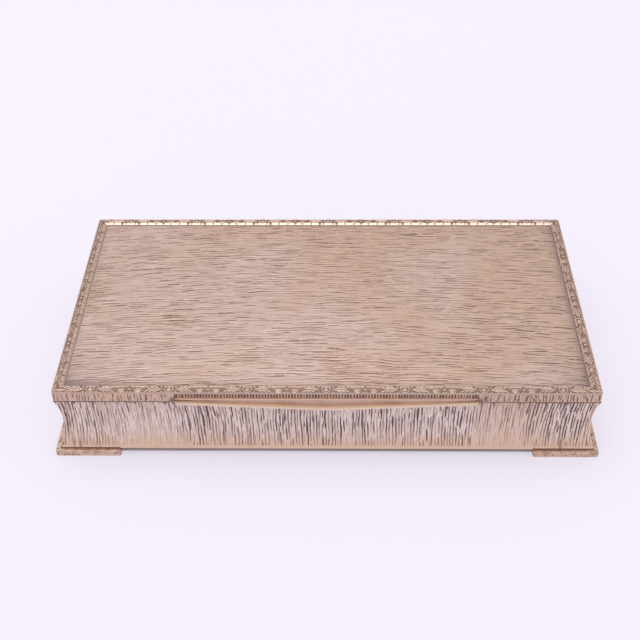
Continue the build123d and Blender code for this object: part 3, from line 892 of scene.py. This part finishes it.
def stroke_force(side, x, top, height):
    """How deep the strokes go over a wall's face. They stop short of the foot and of the scoop."""
    near_bay = (side == "front") & (np.abs(x) < BAY_HALF + BAY_STEP)
    up = height - BODY_BOTTOM
    foot_fade = ramp(up - FOOT_MARGIN, 0.7 * MM)
    scoop_fade = np.where(near_bay, ramp(top - height - SCOOP_MARGIN, 0.8 * MM), 1.0)
    strength = 0.80 + 0.20 * ramp(up - 4 * MM, 6 * MM)
    share = np.clip(up / (BODY_TOP - BODY_BOTTOM), 0, 1)
    return foot_fade * scoop_fade * strength * (force_along(x, share) if side == "front" else 1.0)


def gathered_patina_and_shade(side, along, x, height):
    """Patina in the joint with the base, deeper over the feet with painted shade, in marks over the feet and
    blots under the seam, and a painted shadow line under the seam.
    """
    length = side_axes(side)[3]
    over_foot = ramp(FOOT_REACH - np.minimum(along, length - along), 0.4 * MM)
    # Over the feet the joint is painted deeper, partly as painted shade where the wall meets the foot.
    joint = ramp(BODY_BOTTOM + (JOINT_LINE + FOOT_SHADE_LINE * over_foot) - height, 0.2 * MM)
    random = np.random.default_rng(5 + SIDES.index(side))
    blot_places = np.arange(0, length, BLOT_STEP)
    blots = np.interp(along, blot_places, random.uniform(0, 1, len(blot_places)))
    low = over_foot * ramp(BODY_BOTTOM + (1.2 + 3.8 * blots**2) * MM - height, 1.2 * MM)
    high = ramp(height - BODY_TOP + (0.8 + 2.4 * blots**2) * MM, 1.6 * MM)
    # A painted shadow line under the lid's seam.
    seam = ramp(height - BODY_TOP + SEAM_SHADOW_LINE, 0.2 * MM)
    beside_bay = (side != "front") | (np.abs(x) > BAY_HALF)
    return np.max([
        joint, 0.65 * blots**3 * low, beside_bay * 0.7 * blots * high, 0.75 * beside_bay * seam], axis=0)


print("bright places along the front wall:", len(RUBBED))

# %% [markdown]
# Each wall is chased twice: long strokes first, then short light ones between them, with another
# seed for every wall. The edge of the scoop is marked as bare cut metal with a painted highlight,
# and is left unchased.

# %% Case walls
def coved_wall(side):
    """Case wall, ready to be chased."""
    along = columns_along(side, WALL_STEP)
    x = along - side_axes(side)[3] / 2
    top, inner_top = wall_tops(side, along, x)
    height = BODY_BOTTOM + WALL_SHARES[:, None] * (top - BODY_BOTTOM)
    inset = cove_inset(height)
    rim_inset, rim_height = wall_rim(side, x, inset[-1], top, inner_top)
    hidden = BODY_BOTTOM + np.linspace(1, 0, INNER_ROWS)[:, None] * (inner_top - BODY_BOTTOM)
    all_inset = np.vstack([inset, rim_inset, cove_inset(hidden, SHEET)])
    all_height = np.vstack([height, rim_height, hidden])

    in_bay = (side == "front") & (np.abs(x) < BAY_HALF + BAY_STEP)
    # The scoop's edge is marked for its pale colour: bare metal and a painted highlight.
    bare_edge_highlight = np.zeros(all_inset.shape)
    bare_edge_highlight[:WALL_ROWS] = in_bay * ramp(height - top + 0.25 * MM, 0.25 * MM)
    bare_edge_highlight[WALL_ROWS:WALL_ROWS + len(rim_inset) + 1] = in_bay
    out_in, out_up = cove_outwards(height)
    return mitred_strip(
        f"{side}_wall", side, along, all_inset, all_height, WALL_ROWS, out_in, out_up,
        lean=np.interp(x / MM, *LEAN), rounded=False,
        worked=stroke_force(side, x, top, height), rub=np.broadcast_to(rubbing(x), height.shape),
        patina=gathered_patina_and_shade(side, along, x, height), edge=bare_edge_highlight,
    )


for number, side in enumerate(SIDES):
    wall = coved_wall(side)
    run_tree(wall, chasing, Spacing_mm=1.15, Pitch_mm=9.0, Length_mm=12.0, Width_mm=0.22, Edge_mm=0.26,
             Depth_mm=0.20, Burr_mm=0.05, Turn_degrees=2.0, Jitter=0.42, Waver_mm=0.9, Waver_length_mm=9.0,
             Force_spread=0.75, Seed=11 + number, Material=wall_bronze)
    run_tree(wall, chasing, Spacing_mm=1.15, Pitch_mm=5.5, Length_mm=5.5, Width_mm=0.14, Edge_mm=0.22,
             Depth_mm=0.12, Burr_mm=0.03, Turn_degrees=4.0, Jitter=0.7, Waver_mm=0.9, Waver_length_mm=9.0,
             Force_spread=0.9, Seed=51 + number, Material=wall_bronze)
    finish_piece(wall, "case", "bronze_bark_walls", f"{side}_panel")

# %% [markdown]
# The lid's skirts are narrow upright strips, chased like the walls but lightly. In the bay the
# front one slopes back under the border to make a grip, ends in a thin lip, and is reeded there:
# straight grooves at an even pitch, which the same tree makes with little jitter.

# %% Section of a lid skirt
SKIRT_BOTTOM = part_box("lid_skirt_front")[0].z
LIP_HEIGHT = 0.5 * MM
UNDERCUT = 1.05 * MM
LIP_INSET = 0.85 * MM
BACKING = 0.4 * MM
SEAM_GAP = 0.10 * MM
FACE_ROWS = 15
GUTTER_CREST = (0.3 * MM, 0.6 * MM, 0.9 * MM, 1.2 * MM)


def front_skirt_rows(x, in_bay):
    """Undercut and lower edge of the front skirt's face, and the rows from its lip round the back."""
    lower = np.where(in_bay, SKIRT_BOTTOM + LIP_HEIGHT, SKIRT_BOTTOM + SEAM_GAP)
    lip = np.where(in_bay, np.where(np.abs(x) <= LIP_HALF, LIP_INSET, UNDERCUT), 0.0)
    back = np.where(in_bay, SHEET + BACKING, SHEET)
    panel_bottom = PANEL_TOP - SHEET
    return np.where(in_bay, UNDERCUT, 0.0), lower, [
        (lip, lower), (lip, (lower + SKIRT_BOTTOM) / 2), (lip, SKIRT_BOTTOM), (back, SKIRT_BOTTOM),
        (back, panel_bottom), (SHEET, panel_bottom), (SHEET, PANEL_TOP),
    ]


def back_skirt_rows():
    """Lower edge of the back skirt's face, and the rows round the gutter and up the back."""
    crest = [(inset, HINGE_Z + gutter_half(inset)) for inset in (*GUTTER_CREST, SHEET)]
    return 0.0, HINGE_Z + gutter_half(0.0), [*crest, (SHEET, PANEL_TOP)]


def side_skirt_rows(side, along):
    """Lower edge of a side skirt's face, cut by the gutter at the back, and the rows behind it."""
    outer, inner = (
        np.maximum(SKIRT_BOTTOM, HINGE_Z + gutter_rise(side, along, inset)) for inset in (0.0, SHEET))
    return 0.0, outer, [(SHEET, inner), (SHEET, PANEL_TOP)]


print("lip of the lid, mm", LIP_HEIGHT / MM, "high and", round(LIP_INSET / MM, 2), "in")

# %% [markdown]
# A skirt gets one pass of short strokes, which turn more than the long ones of the walls do. The
# front one is then reeded inside the bay, and a painted shadow darkens its face beside the ends of
# the bay, where the face steps in, most towards its lower edge.

# %% Lid skirts
SKIRT_STEP = 0.155 * MM
REED_PITCH_MM = 1.09
BAY_END_SHADOW_WIDTH = 1.9 * MM


def lid_skirt(side):
    """Lid skirt, ready to be chased."""
    along = columns_along(side, SKIRT_STEP)
    x = along - side_axes(side)[3] / 2
    in_bay = (side == "front") & (np.abs(x) <= BAY_HALF)
    if side == "front":
        undercut, lower, tail = front_skirt_rows(x, in_bay)
    elif side == "back":
        undercut, lower, tail = back_skirt_rows()
    else:
        undercut, lower, tail = side_skirt_rows(side, along)
    share = np.linspace(0, 1, FACE_ROWS)[:, None]
    face = np.zeros((FACE_ROWS, len(x)))
    face_height = PANEL_TOP + share * (lower - PANEL_TOP) + face
    all_inset = np.vstack([share * undercut + face, *(np.broadcast_to(row[0], x.shape) for row in tail)])
    all_height = np.vstack([face_height, *(np.broadcast_to(row[1], x.shape) for row in tail)])

    slope = np.where(in_bay, math.atan2(UNDERCUT, PANEL_TOP - SKIRT_BOTTOM - LIP_HEIGHT), 0.0)
    worked = ramp(PANEL_TOP - face_height, 0.3 * MM) * ramp(face_height - SKIRT_BOTTOM, 0.15 * MM)
    worked = worked * np.where(x > 0, 1.35, 1.0)
    reeded = ramp(face_height - SKIRT_BOTTOM - LIP_HEIGHT, 0.3 * MM) * in_bay
    # The skirts are painted a darker tone, a little more towards the right and less in the bay.
    dull = (0.21 + 0.04 * np.tanh(x / (40 * MM))) * (1 - 0.6 * in_bay) + face
    # Painted shadow beside the ends of the bay, where the skirt's face steps in, darkest low down.
    from_bay = np.abs(x) - BAY_HALF - 0.6 * MM
    bay_end_shadow = 0.9 * np.exp(-((from_bay / BAY_END_SHADOW_WIDTH) ** 2)) * (side == "front") * share
    return mitred_strip(
        f"{side}_skirt", side, along, all_inset, all_height, FACE_ROWS, face - np.cos(slope),
        face - np.sin(slope), worked=worked * ~in_bay, reeded=reeded, dull=dull, patina=bay_end_shadow,
    )


for number, side in enumerate(SIDES):
    skirt = lid_skirt(side)
    run_tree(skirt, chasing, Spacing_mm=1.0, Pitch_mm=2.8, Length_mm=4.0, Width_mm=0.16, Edge_mm=0.22,
             Depth_mm=0.15, Burr_mm=0.02, Turn_degrees=7.0, Jitter=1.0, Waver_mm=0.6, Waver_length_mm=5.0,
             Force_spread=0.8, Seed=71 + number, Material=wall_bronze)
    if side == "front":
        run_tree(skirt, chasing, Where="reeded", Spacing_mm=REED_PITCH_MM, Pitch_mm=9.0, Length_mm=30.0,
                 Width_mm=0.46, Edge_mm=0.20, Depth_mm=0.30, Burr_mm=0.02, Turn_degrees=0.4, Jitter=0.12,
                 Waver_mm=0.25, Waver_length_mm=20.0, Force_spread=0.35, Seed=5, Material=wall_bronze)
    finish_piece(skirt, "lid", "bronze_bark_walls", f"lid_skirt_{side}")

# %% [markdown]
# The lid's top is one flat chased sheet. Its strokes run from left to right, so the flow is the
# place on the sheet with its axes swapped. They bow a little, as the chaser's arm swung, so they
# rise at the left and fall at the right. Only the part inside the border has the fine grid. The
# edges are kept darker, most of all at the front and in its corners: partly patina that hands
# don't reach, partly painted shade beside the raised border.

# %% Lid top
panel_low, panel_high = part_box("lid_panel")
BORDER_WIDTH = 4.1 * MM
UNDER_BORDER = 0.1 * MM
TOP_STEP_ALONG = 1.0 * MM
TOP_STEP_ACROSS = 0.215 * MM
EDGE_X = LID_LENGTH / 2 - BORDER_WIDTH + UNDER_BORDER
EDGE_Y = LID_DEPTH / 2 - BORDER_WIDTH + UNDER_BORDER
FRONT_RIM, RIGHT_RIM, LEFT_RIM = 2.0 * MM, 1.8 * MM, 1.2 * MM
LEFT_CORNER, RIGHT_CORNER = 8 * MM, 5 * MM
FRONT_RIM_REACH = 35 * MM


def shade_beside_border(points):
    """How dark the lid is painted beside the border, from 0 to 0.9: partly unrubbed patina, partly painted
    shade.
    """
    front, right, left = EDGE_Y + points[:, 1], EDGE_X - points[:, 0], EDGE_X + points[:, 0]
    corner = np.exp(-np.hypot(front, left) / LEFT_CORNER)
    corner = corner + 0.6 * np.exp(-np.hypot(front - RIGHT_CORNER, right) / RIGHT_CORNER)
    shade = (0.50 + 0.50 * np.exp(-left / FRONT_RIM_REACH)) * np.exp(-front / FRONT_RIM)
    shade = shade + 0.75 * np.exp(-right / RIGHT_RIM) + 0.25 * np.exp(-left / LEFT_RIM) + 0.6 * corner
    return np.clip(shade, 0, 0.9)


def lid_sheet():
    """Slab with a dense face inside the border."""
    x = np.linspace(-EDGE_X, EDGE_X, round(2 * EDGE_X / TOP_STEP_ALONG))
    y = np.linspace(-EDGE_Y, EDGE_Y, round(2 * EDGE_Y / TOP_STEP_ACROSS))
    x = np.concatenate([[panel_low.x], x, [panel_high.x]])
    y = np.concatenate([[panel_low.y], y, [panel_high.y]])
    grid_x, grid_y = np.meshgrid(x, y)
    top = np.stack([grid_x, grid_y, np.full_like(grid_x, panel_high.z)], axis=-1).reshape(-1, 3)
    rows, columns = grid_x.shape
    index = np.arange(rows * columns).reshape(rows, columns)
    quads = np.stack([index[:-1, :-1], index[:-1, 1:], index[1:, 1:], index[1:, :-1]], axis=-1).reshape(-1, 4)
    rim = np.concatenate([index[0, :-1], index[:-1, -1], index[-1, :0:-1], index[:0:-1, 0]])
    under = np.arange(len(rim)) + rows * columns
    sides = np.stack([np.roll(rim, -1), rim, under, np.roll(under, -1)], axis=-1)
    faces = quads.tolist() + sides.tolist() + [under[::-1].tolist()]
    foot = top[rim].copy()
    foot[:, 2] = panel_low.z
    points = np.vstack([top, foot])

    inner = np.minimum(EDGE_X - np.abs(points[:, 0]), EDGE_Y - np.abs(points[:, 1]))
    worked = ramp(inner - 0.15 * MM, 0.8 * MM) * (points[:, 2] > panel_low.z)
    bowed = points[:, 1] + ARCH * (points[:, 0] / FIELD_HALF_X) ** 2
    flow = np.stack([bowed, points[:, 0], 0 * points[:, 0]], axis=-1) / MM
    up = np.tile([0.0, 0.0, 1.0], (len(points), 1))
    return add_mesh("lid_top", points, faces, flow=flow, face_out=up, worked=worked, shade=shade_beside_border(points))


lid_top = lid_sheet()
run_tree(lid_top, chasing, Spacing_mm=1.60, Pitch_mm=9.5, Length_mm=10.0, Width_mm=0.10, Edge_mm=0.29,
         Depth_mm=0.13, Burr_mm=0.02, Turn_degrees=2.0, Jitter=0.30, Waver_mm=3.0, Waver_length_mm=16.0,
         Force_spread=0.9, Seed=3, Material=lid_bronze)
run_tree(lid_top, chasing, Spacing_mm=1.15, Pitch_mm=7.0, Length_mm=7.0, Width_mm=0.06, Edge_mm=0.26,
         Depth_mm=0.07, Burr_mm=0.01, Turn_degrees=2.0, Jitter=0.5, Waver_mm=3.0, Waver_length_mm=16.0,
         Force_spread=0.95, Seed=8, Material=lid_bronze)
finish_piece(lid_top, "lid", "bronze_bark_lid", "lid_panel")

# %% [markdown]
# The border is a stamped strip: a low ground, a repeated ornament on it, and a slope down to the
# lid. The ornament is a common one, and repeats every 29 mm. A ring with a boss alternates with a
# pair of buds about a bead, and three pairs of leaves fan out between them. The gaps between the
# elements run on over the slope as notches.

# %% Border strip
REPEAT = 29.0 * MM
BORDER_STEP = 0.16 * MM
ORNAMENT_WIDTH = 2.9 * MM
SLOPE_FOOT = 0.18 * MM
EDGE_RISE = 0.55 * MM
FOLD_RISE = 0.66 * MM
SECTION = (
    (0.0, 0.0), (0.0, EDGE_RISE * 0.6), (0.06 * MM, EDGE_RISE), (0.5 * MM, GROUND_RISE + 0.06 * MM),
    (1.45 * MM, GROUND_RISE + 0.10 * MM), (2.4 * MM, GROUND_RISE + 0.04 * MM),
    (2.62 * MM, FOLD_RISE - 0.03 * MM), (2.8 * MM, FOLD_RISE),
    (ORNAMENT_WIDTH + 0.05 * MM, FOLD_RISE - 0.03 * MM),
    (3.75 * MM, SLOPE_FOOT + 0.12 * MM), (BORDER_WIDTH - 0.2 * MM, SLOPE_FOOT + 0.04 * MM),
    (BORDER_WIDTH, SLOPE_FOOT), (BORDER_WIDTH, 0.0),
)
FOLD_ROW = 7
SLOPE_ROWS = 4
NOTCHES = ((2.0, 0.16), (3.7, 0.5), (7.4, 0.18), (11.3, 0.2), (14.5, 0.2))
NOTCH_DEPTH = 0.22 * MM
NOTCHED_ROWS = ((FOLD_ROW - 1, 1.0), (FOLD_ROW, 1.0), (FOLD_ROW + 1, 1.0), (FOLD_ROW + 2, 0.6))
SPREAD = {"front": 1.26, "right": 1.26, "back": 1.0, "left": 1.0}
SLOPE_HIGHLIGHT = {"front": 0.40, "right": 0.35, "back": 1.0, "left": 0.35}
EDGE_HIGHLIGHT = 0.45


def notch_at(along, length):
    """How deep the gaps between the elements are along a side, from 0 to 1."""
    half_repeat = REPEAT / 2
    first = 0.0 if round(length / REPEAT) % 2 else half_repeat
    from_ring = np.abs((along - length / 2 + first + half_repeat) % REPEAT - half_repeat) / MM
    return np.max([np.exp(-(((from_ring - place) / half) ** 2)) for place, half in NOTCHES], axis=0)


def border_strip(side):
    """Moulded strip under the ornament, with notches in its slope."""
    length = side_axes(side)[3]
    along = np.linspace(0, length, round(length / BORDER_STEP) + 1)
    spread = [SPREAD[side]] * (len(SECTION) - SLOPE_ROWS) + [1.0] * SLOPE_ROWS
    inset = np.array([[point[0] * widen] for point, widen in zip(SECTION, spread)]) + 0 * along
    height = PANEL_TOP + np.array([[point[1]] for point in SECTION]) + 0 * along
    notch = notch_at(along, length)
    patina = np.zeros_like(height)
    for row, share in NOTCHED_ROWS:
        height[row] -= NOTCH_DEPTH * share * notch
        patina[row] = share * notch
    patina[-2:] = 0.8
    # Painted highlight on the slope, full on the back, whose slope faces the lights, and on the outer edge.
    bare = np.zeros_like(height)
    bare[FOLD_ROW:] = SLOPE_HIGHLIGHT[side]
    bare[:3] = EDGE_HIGHLIGHT
    flat = 0 * inset
    return mitred_strip(
        f"{side}_border", side, along, inset, height, len(SECTION), flat, flat, patina=patina, bare=bare)


print("ornament band, mm", round(ORNAMENT_WIDTH / MM, 1))

# %% [markdown]
# The ornament is the second tree. Each element is modelled once: a leaf is a ridge that is thick
# in its middle, and the ring, boss, bud, bead and dots are squashed rings and balls. The tree sets
# them out on a line of points, one point to a repeat, for a strip that runs in X. At the mitres
# the repeat is cut short, and a few single leaves fill the corners, as on the real box.

# %% Ornament tree
CENTRE_INSET = 1.58 * MM
LEAF_LINE = ((0, 0.14 * MM), (1.7 * MM, 0.06 * MM), (4.0 * MM, 1.56 * MM))
SEPAL_LINE = ((-2.0 * MM, 0.25 * MM), (0.1 * MM, 2.15 * MM), (1.9 * MM, 0.55 * MM))
LEAF_ROOTS = (2.2 * MM, 3.8 * MM, 5.4 * MM)
LEAF_REACH = 3.6 * MM
CORNER_LEAVES = ((6.0 * MM, -1), (4.2 * MM, -1), (7.2 * MM, 1))
BUD_PLACE = 11.5 * MM
BUD_REACH = 2.2 * MM
BEAD_PLACE = 14.5 * MM
BEAD_REACH = 1.2 * MM
RING_RADIUS = 1.0 * MM
RING_THICKNESS = 0.20 * MM
BALLS = {
    "boss": (0.95 * MM, 0.78 * MM, 0.22 * MM), "dot": (0.42 * MM, 0.42 * MM, 0.24 * MM),
    "bud": (1.50 * MM, 0.90 * MM, 0.15 * MM), "bead": (0.50 * MM, 0.60 * MM, 0.30 * MM),
}


def build_ornament_tree():
    """Tree that sets rings, bosses, leaves, buds and beads along a strip that runs in X."""
    tree = bpy.data.node_groups.new("border_ornament", "GeometryNodeTree")
    tree.interface.new_socket(name="Geometry", in_out="INPUT", socket_type="NodeSocketGeometry")
    for name, value in (
        ("Length", LID_LENGTH), ("Repeat", REPEAT), ("Leaf width", 0.66 * MM), ("Rise", 0.30 * MM),
    ):
        socket = tree.interface.new_socket(name=name, in_out="INPUT", socket_type="NodeSocketFloat")
        socket.default_value = value
    tree.interface.new_socket(name="Count", in_out="INPUT", socket_type="NodeSocketInt").default_value = 7
    tree.interface.new_socket(name="Material", in_out="INPUT", socket_type="NodeSocketMaterial")
    tree.interface.new_socket(name="Geometry", in_out="OUTPUT", socket_type="NodeSocketGeometry")
    given = tree.nodes.new("NodeGroupInput").outputs
    half_length = add(tree, "ShaderNodeMath", {0: given["Length"], 1: 0.5}, operation="MULTIPLY")
    gaps = add(tree, "ShaderNodeMath", {0: given["Count"], 1: 1.0}, operation="SUBTRACT")
    first = add(tree, "ShaderNodeMath", {0: gaps, 1: -0.5}, operation="MULTIPLY")
    start = add(tree, "ShaderNodeMath", {0: first, 1: given["Repeat"]}, operation="MULTIPLY")
    pieces = []

    def set_out(shape, offset, across, flip=(1, 1, 1), reach=0.0):
        """Sets a shape out once in each repeat, at an offset, and skips places past the mitre."""
        place = add(tree, "ShaderNodeMath", {0: start, 1: offset}, operation="ADD")
        line = add(tree, "GeometryNodeMeshLine", {
            "Count": given["Count"],
            "Start Location": add(tree, "ShaderNodeCombineXYZ", {"X": place}),
            "Offset": add(tree, "ShaderNodeCombineXYZ", {"X": given["Repeat"]}),
        })
        spot = add(tree, "ShaderNodeSeparateXYZ", {
            "Vector": add(tree, "GeometryNodeInputPosition")}, output="X")
        middle = add(tree, "ShaderNodeMath", {0: spot}, operation="ABSOLUTE")
        far = add(tree, "ShaderNodeMath", {0: middle, 1: across + reach}, operation="ADD")
        inside = add(tree, "FunctionNodeCompare", {
            "A": far, "B": half_length}, data_type="FLOAT", operation="LESS_THAN")
        shifted = add(tree, "GeometryNodeTransform", {
            "Geometry": shape, "Translation": (0, across, 0), "Scale": flip})
        pieces.append(add(tree, "GeometryNodeInstanceOnPoints", {
            "Points": line, "Selection": inside, "Instance": shifted}))

    def set_at_ends(shape, offset, across, hand):
        """Sets a shape near both ends of the strip, where the repeat is cut short by the mitre."""
        for end in (-1, 1):
            middle = add(tree, "ShaderNodeMath", {
                0: half_length, 1: end, 2: -end * offset}, operation="MULTIPLY_ADD")
            place = add(tree, "ShaderNodeCombineXYZ", {"X": middle, "Y": across})
            pieces.append(add(tree, "GeometryNodeTransform", {
                "Geometry": shape, "Translation": place, "Scale": (end, hand, 1)}))

    def ridge(line, width, rise, segments=7):
        """A raised stroke along a curve through three points: thick in the middle, thin at its ends."""
        first, middle, last = ((*point, 0) for point in line)
        curve = add(tree, "GeometryNodeCurveQuadraticBezier", {
            "Resolution": segments, "Start": first, "Middle": middle, "End": last})
        factor = add(tree, "GeometryNodeSplineParameter", output="Factor")
        half_turn = add(tree, "ShaderNodeMath", {0: factor, 1: math.pi}, operation="MULTIPLY")
        belly = add(tree, "ShaderNodeMath", {0: half_turn}, operation="SINE")
        fullness = add(tree, "ShaderNodeMath", {0: belly, 1: 0.8, 2: 0.14}, operation="MULTIPLY_ADD")
        thickness = add(tree, "ShaderNodeMath", {0: fullness, 1: width}, operation="MULTIPLY")
        profile = add(tree, "GeometryNodeCurvePrimitiveCircle", {"Resolution": 8, "Radius": 1.0})
        tube = add(tree, "GeometryNodeCurveToMesh", {
            "Curve": curve, "Profile Curve": profile, "Scale": thickness, "Fill Caps": True})
        flat = add(tree, "ShaderNodeMath", {0: rise, 1: width}, operation="DIVIDE")
        squash = add(tree, "ShaderNodeCombineXYZ", {"X": 1.0, "Y": 1.0, "Z": flat})
        return add(tree, "GeometryNodeTransform", {"Geometry": tube, "Scale": squash})

    half_width = add(tree, "ShaderNodeMath", {0: given["Leaf width"], 1: 0.5}, operation="MULTIPLY")
    leaf, sepal = (ridge(line, half_width, given["Rise"]) for line in (LEAF_LINE, SEPAL_LINE))
    ring_curve, ring_profile = (
        add(tree, "GeometryNodeCurvePrimitiveCircle", {"Resolution": sides, "Radius": radius})
        for sides, radius in ((20, RING_RADIUS), (6, RING_THICKNESS)))
    hoop = add(tree, "GeometryNodeCurveToMesh", {"Curve": ring_curve, "Profile Curve": ring_profile})
    ring = add(tree, "GeometryNodeTransform", {"Geometry": hoop, "Scale": (1.55, 1.32, 1.30)})
    ball = add(tree, "GeometryNodeMeshUVSphere", {"Segments": 12, "Rings": 6, "Radius": 1.0})
    boss, dot, bud, bead = (
        add(tree, "GeometryNodeTransform", {"Geometry": ball, "Scale": BALLS[name]})
        for name in ("boss", "dot", "bud", "bead"))

    for root in LEAF_ROOTS:
        for way in (-1, 1):
            for hand in (-1, 1):
                set_out(leaf, way * root, CENTRE_INSET, (way, hand, 1), LEAF_REACH)
    for offset, hand in CORNER_LEAVES:
        set_at_ends(leaf, offset, CENTRE_INSET, hand)
    set_out(ring, 0.0, CENTRE_INSET)
    set_out(boss, 0.0, CENTRE_INSET)
    for way in (-1, 1):
        for hand in (-1, 1):
            set_out(dot, way * 2.55 * MM, CENTRE_INSET + hand * 1.15 * MM)
            set_out(sepal, way * BUD_PLACE, CENTRE_INSET, (way, hand, 1), BUD_REACH)
            set_out(dot, way * (BEAD_PLACE - 0.55 * MM), CENTRE_INSET + hand * 1.25 * MM, reach=BEAD_REACH)
        set_out(bud, way * BUD_PLACE, CENTRE_INSET, reach=BUD_REACH)
        set_out(bead, way * BEAD_PLACE, CENTRE_INSET, reach=BEAD_REACH)

    joined = tree.nodes.new("GeometryNodeJoinGeometry")
    for piece in pieces:
        tree.links.new(piece, joined.inputs[0])
    whole = add(tree, "GeometryNodeRealizeInstances", {"Geometry": joined.outputs[0]})
    finished = add(tree, "GeometryNodeSetMaterial", {"Geometry": whole, "Material": given["Material"]})
    add(tree, "NodeGroupOutput", {0: finished})
    return tree


ornament = build_ornament_tree()
print("ornament tree has", len(ornament.nodes), "nodes")

# %% [markdown]
# The tree's result is laid along each side of the lid and joined with the side's strip. A mirrored
# leaf is inside out until its normals are recalculated. The ornament is kept inside the solid's
# outline, below its top and round its corners, because the solid is what the rest of the box fits.

# %% Set the border out
GROUND_LEVEL = PANEL_TOP + GROUND_RISE + 0.12 * MM
WELD = 0.001 * MM


def laid_ornament(side):
    """Ornament of one side, laid on the ground of its strip and kept inside the solid."""
    corner, run, inwards, length = side_axes(side)
    raised = add_mesh(f"{side}_ornament", np.zeros((3, 3)), [(0, 1, 2)])
    run_tree(raised, ornament, Length=length, Count=round(length / REPEAT), Material=border_bronze)
    lay = Matrix((run, inwards * SPREAD[side], (0, 0, 1))).transposed().to_4x4()
    lay.translation = Vector(corner + run * length / 2) + Vector((0, 0, GROUND_LEVEL))
    raised.data.transform(lay)
    welded = bmesh.new()
    welded.from_mesh(raised.data)
    bmesh.ops.remove_doubles(welded, verts=welded.verts, dist=WELD)
    welded.to_mesh(raised.data)
    welded.free()
    points = np.array([point.co for point in raised.data.vertices])
    limit = np.array([LID_LENGTH / 2, LID_DEPTH / 2])
    points[:, :2] = np.clip(points[:, :2], -limit, limit)
    points = round_lid_corners(points)
    points[:, 2] = np.minimum(points[:, 2], border_high.z)
    raised.data.vertices.foreach_set("co", points.ravel())
    return raised


for side in SIDES:
    strip = border_strip(side)
    raised = laid_ornament(side)
    both = bmesh.new()
    both.from_mesh(strip.data)
    both.from_mesh(raised.data)
    bmesh.ops.recalc_face_normals(both, faces=both.faces)
    both.to_mesh(strip.data)
    both.free()
    bpy.data.objects.remove(raised)
    strip.data.materials.clear()
    strip.data.materials.append(border_bronze)
    finish_piece(strip, "lid", "bronze_border", f"border_{side}", smooth_degrees=40)

# %% [markdown]
# The box stands on a seamless pale sweep of paper. Metal shows what it reflects, so the room is
# bright all round, and one larger bank hangs overhead, which catches on the border's slopes; the
# border also has a painted highlight there. The paper is partly lit from within where it is seen,
# straight or in a reflection, which keeps it pale without casting light up under the box. Beneath
# the box it stays plain.

# %% Floor
SWEEP_HALF = 60.0
SELF_LIT = 0.6
LIT_FROM = 1.55 * MM
LIT_TO = 0.75 * MM
PAPER_CLOUD_SCALE = 2.0


def sweep(tree, place):
    """Matt pale paper with the faintest cloud. What is seen of it is partly lit from within."""
    clouds = add(tree, "ShaderNodeTexNoise", {"Vector": place, "Scale": PAPER_CLOUD_SCALE})
    paper = add(tree, "ShaderNodeMix", {
        "Factor": clouds, "A": linear("#f0ecf9"), "B": linear("#f3eefa")}, data_type="RGBA")
    path = add(tree, "ShaderNodeLightPath").node.outputs
    seen = add(tree, "ShaderNodeMath", {
        0: path["Is Camera Ray"], 1: path["Is Glossy Ray"]}, operation="MAXIMUM")
    seen = add(tree, "ShaderNodeMath", {0: seen, 1: path["Is Transmission Ray"]}, operation="MAXIMUM")
    size = add(tree, "ShaderNodeVectorMath", {0: place}, operation="ABSOLUTE")
    past = add(tree, "ShaderNodeVectorMath", {
        0: size, 1: (LID_LENGTH / 2, LID_DEPTH / 2, 0)}, operation="SUBTRACT")
    sides = add(tree, "ShaderNodeSeparateXYZ", {"Vector": past}).node.outputs
    outside = add(tree, "ShaderNodeMath", {0: sides[0], 1: sides[1]}, operation="MAXIMUM")
    clear = add(tree, "ShaderNodeMapRange", {
        "Value": outside, "From Min": -LIT_FROM, "From Max": -LIT_TO}, interpolation_type="SMOOTHSTEP")
    glow = add(tree, "ShaderNodeMath", {0: seen, 1: SELF_LIT}, operation="MULTIPLY")
    lit = add(tree, "ShaderNodeMath", {0: glow, 1: clear}, operation="MULTIPLY")
    dimmed = add(tree, "ShaderNodeMix", {"Factor": lit, "A": paper, "B": (0, 0, 0, 1)}, data_type="RGBA")
    return {"Base Color": dimmed, "Emission Color": paper, "Emission Strength": lit}


floor_mesh = bpy.data.meshes.new("floor")
floor_corners = [(x * SWEEP_HALF, y * SWEEP_HALF, 0) for x, y in ((-1, -1), (1, -1), (1, 1), (-1, 1))]
floor_mesh.from_pydata(floor_corners, [], [(0, 1, 2, 3)])
floor_mesh.materials.append(material_of("paper_sweep", sweep, Roughness=0.85))
floor = bpy.data.objects.new("floor", floor_mesh)
scene.collection.objects.link(floor)
print("floor, m", 2 * SWEEP_HALF)

# %% [markdown]
# The room gives most of the light. The banks are large and near, so what they add stays soft.

# %% Light
ROOM_BRIGHTNESS = 0.88

world = bpy.data.worlds.new("studio")
world.use_nodes = True
room = world.node_tree.nodes["Background"].inputs
room["Color"].default_value = linear("#f8f6fb")
room["Strength"].default_value = ROOM_BRIGHTNESS
scene.world = world


def soft_bank(name, place, width, depth, watts, hex_code):
    """Rectangular soft light that looks at the box."""
    light = bpy.data.lights.new(name, "AREA")
    light.shape = "RECTANGLE"
    light.size = width
    light.size_y = depth
    light.energy = watts
    light.color = linear(hex_code)[:3]
    holder = bpy.data.objects.new(name, light)
    holder.location = place
    holder.rotation_euler = (-Vector(place)).to_track_quat("-Z", "Y").to_euler()
    scene.collection.objects.link(holder)


soft_bank("overhead_bank", (-0.2, 0.25, 1.5), width=1.2, depth=1.0, watts=7.0, hex_code="#fffaf4")
soft_bank("front_bank", (-0.3, -1.3, 0.75), width=1.4, depth=0.6, watts=2.0, hex_code="#fff6ee")
print("two soft banks and a room of brightness", ROOM_BRIGHTNESS)
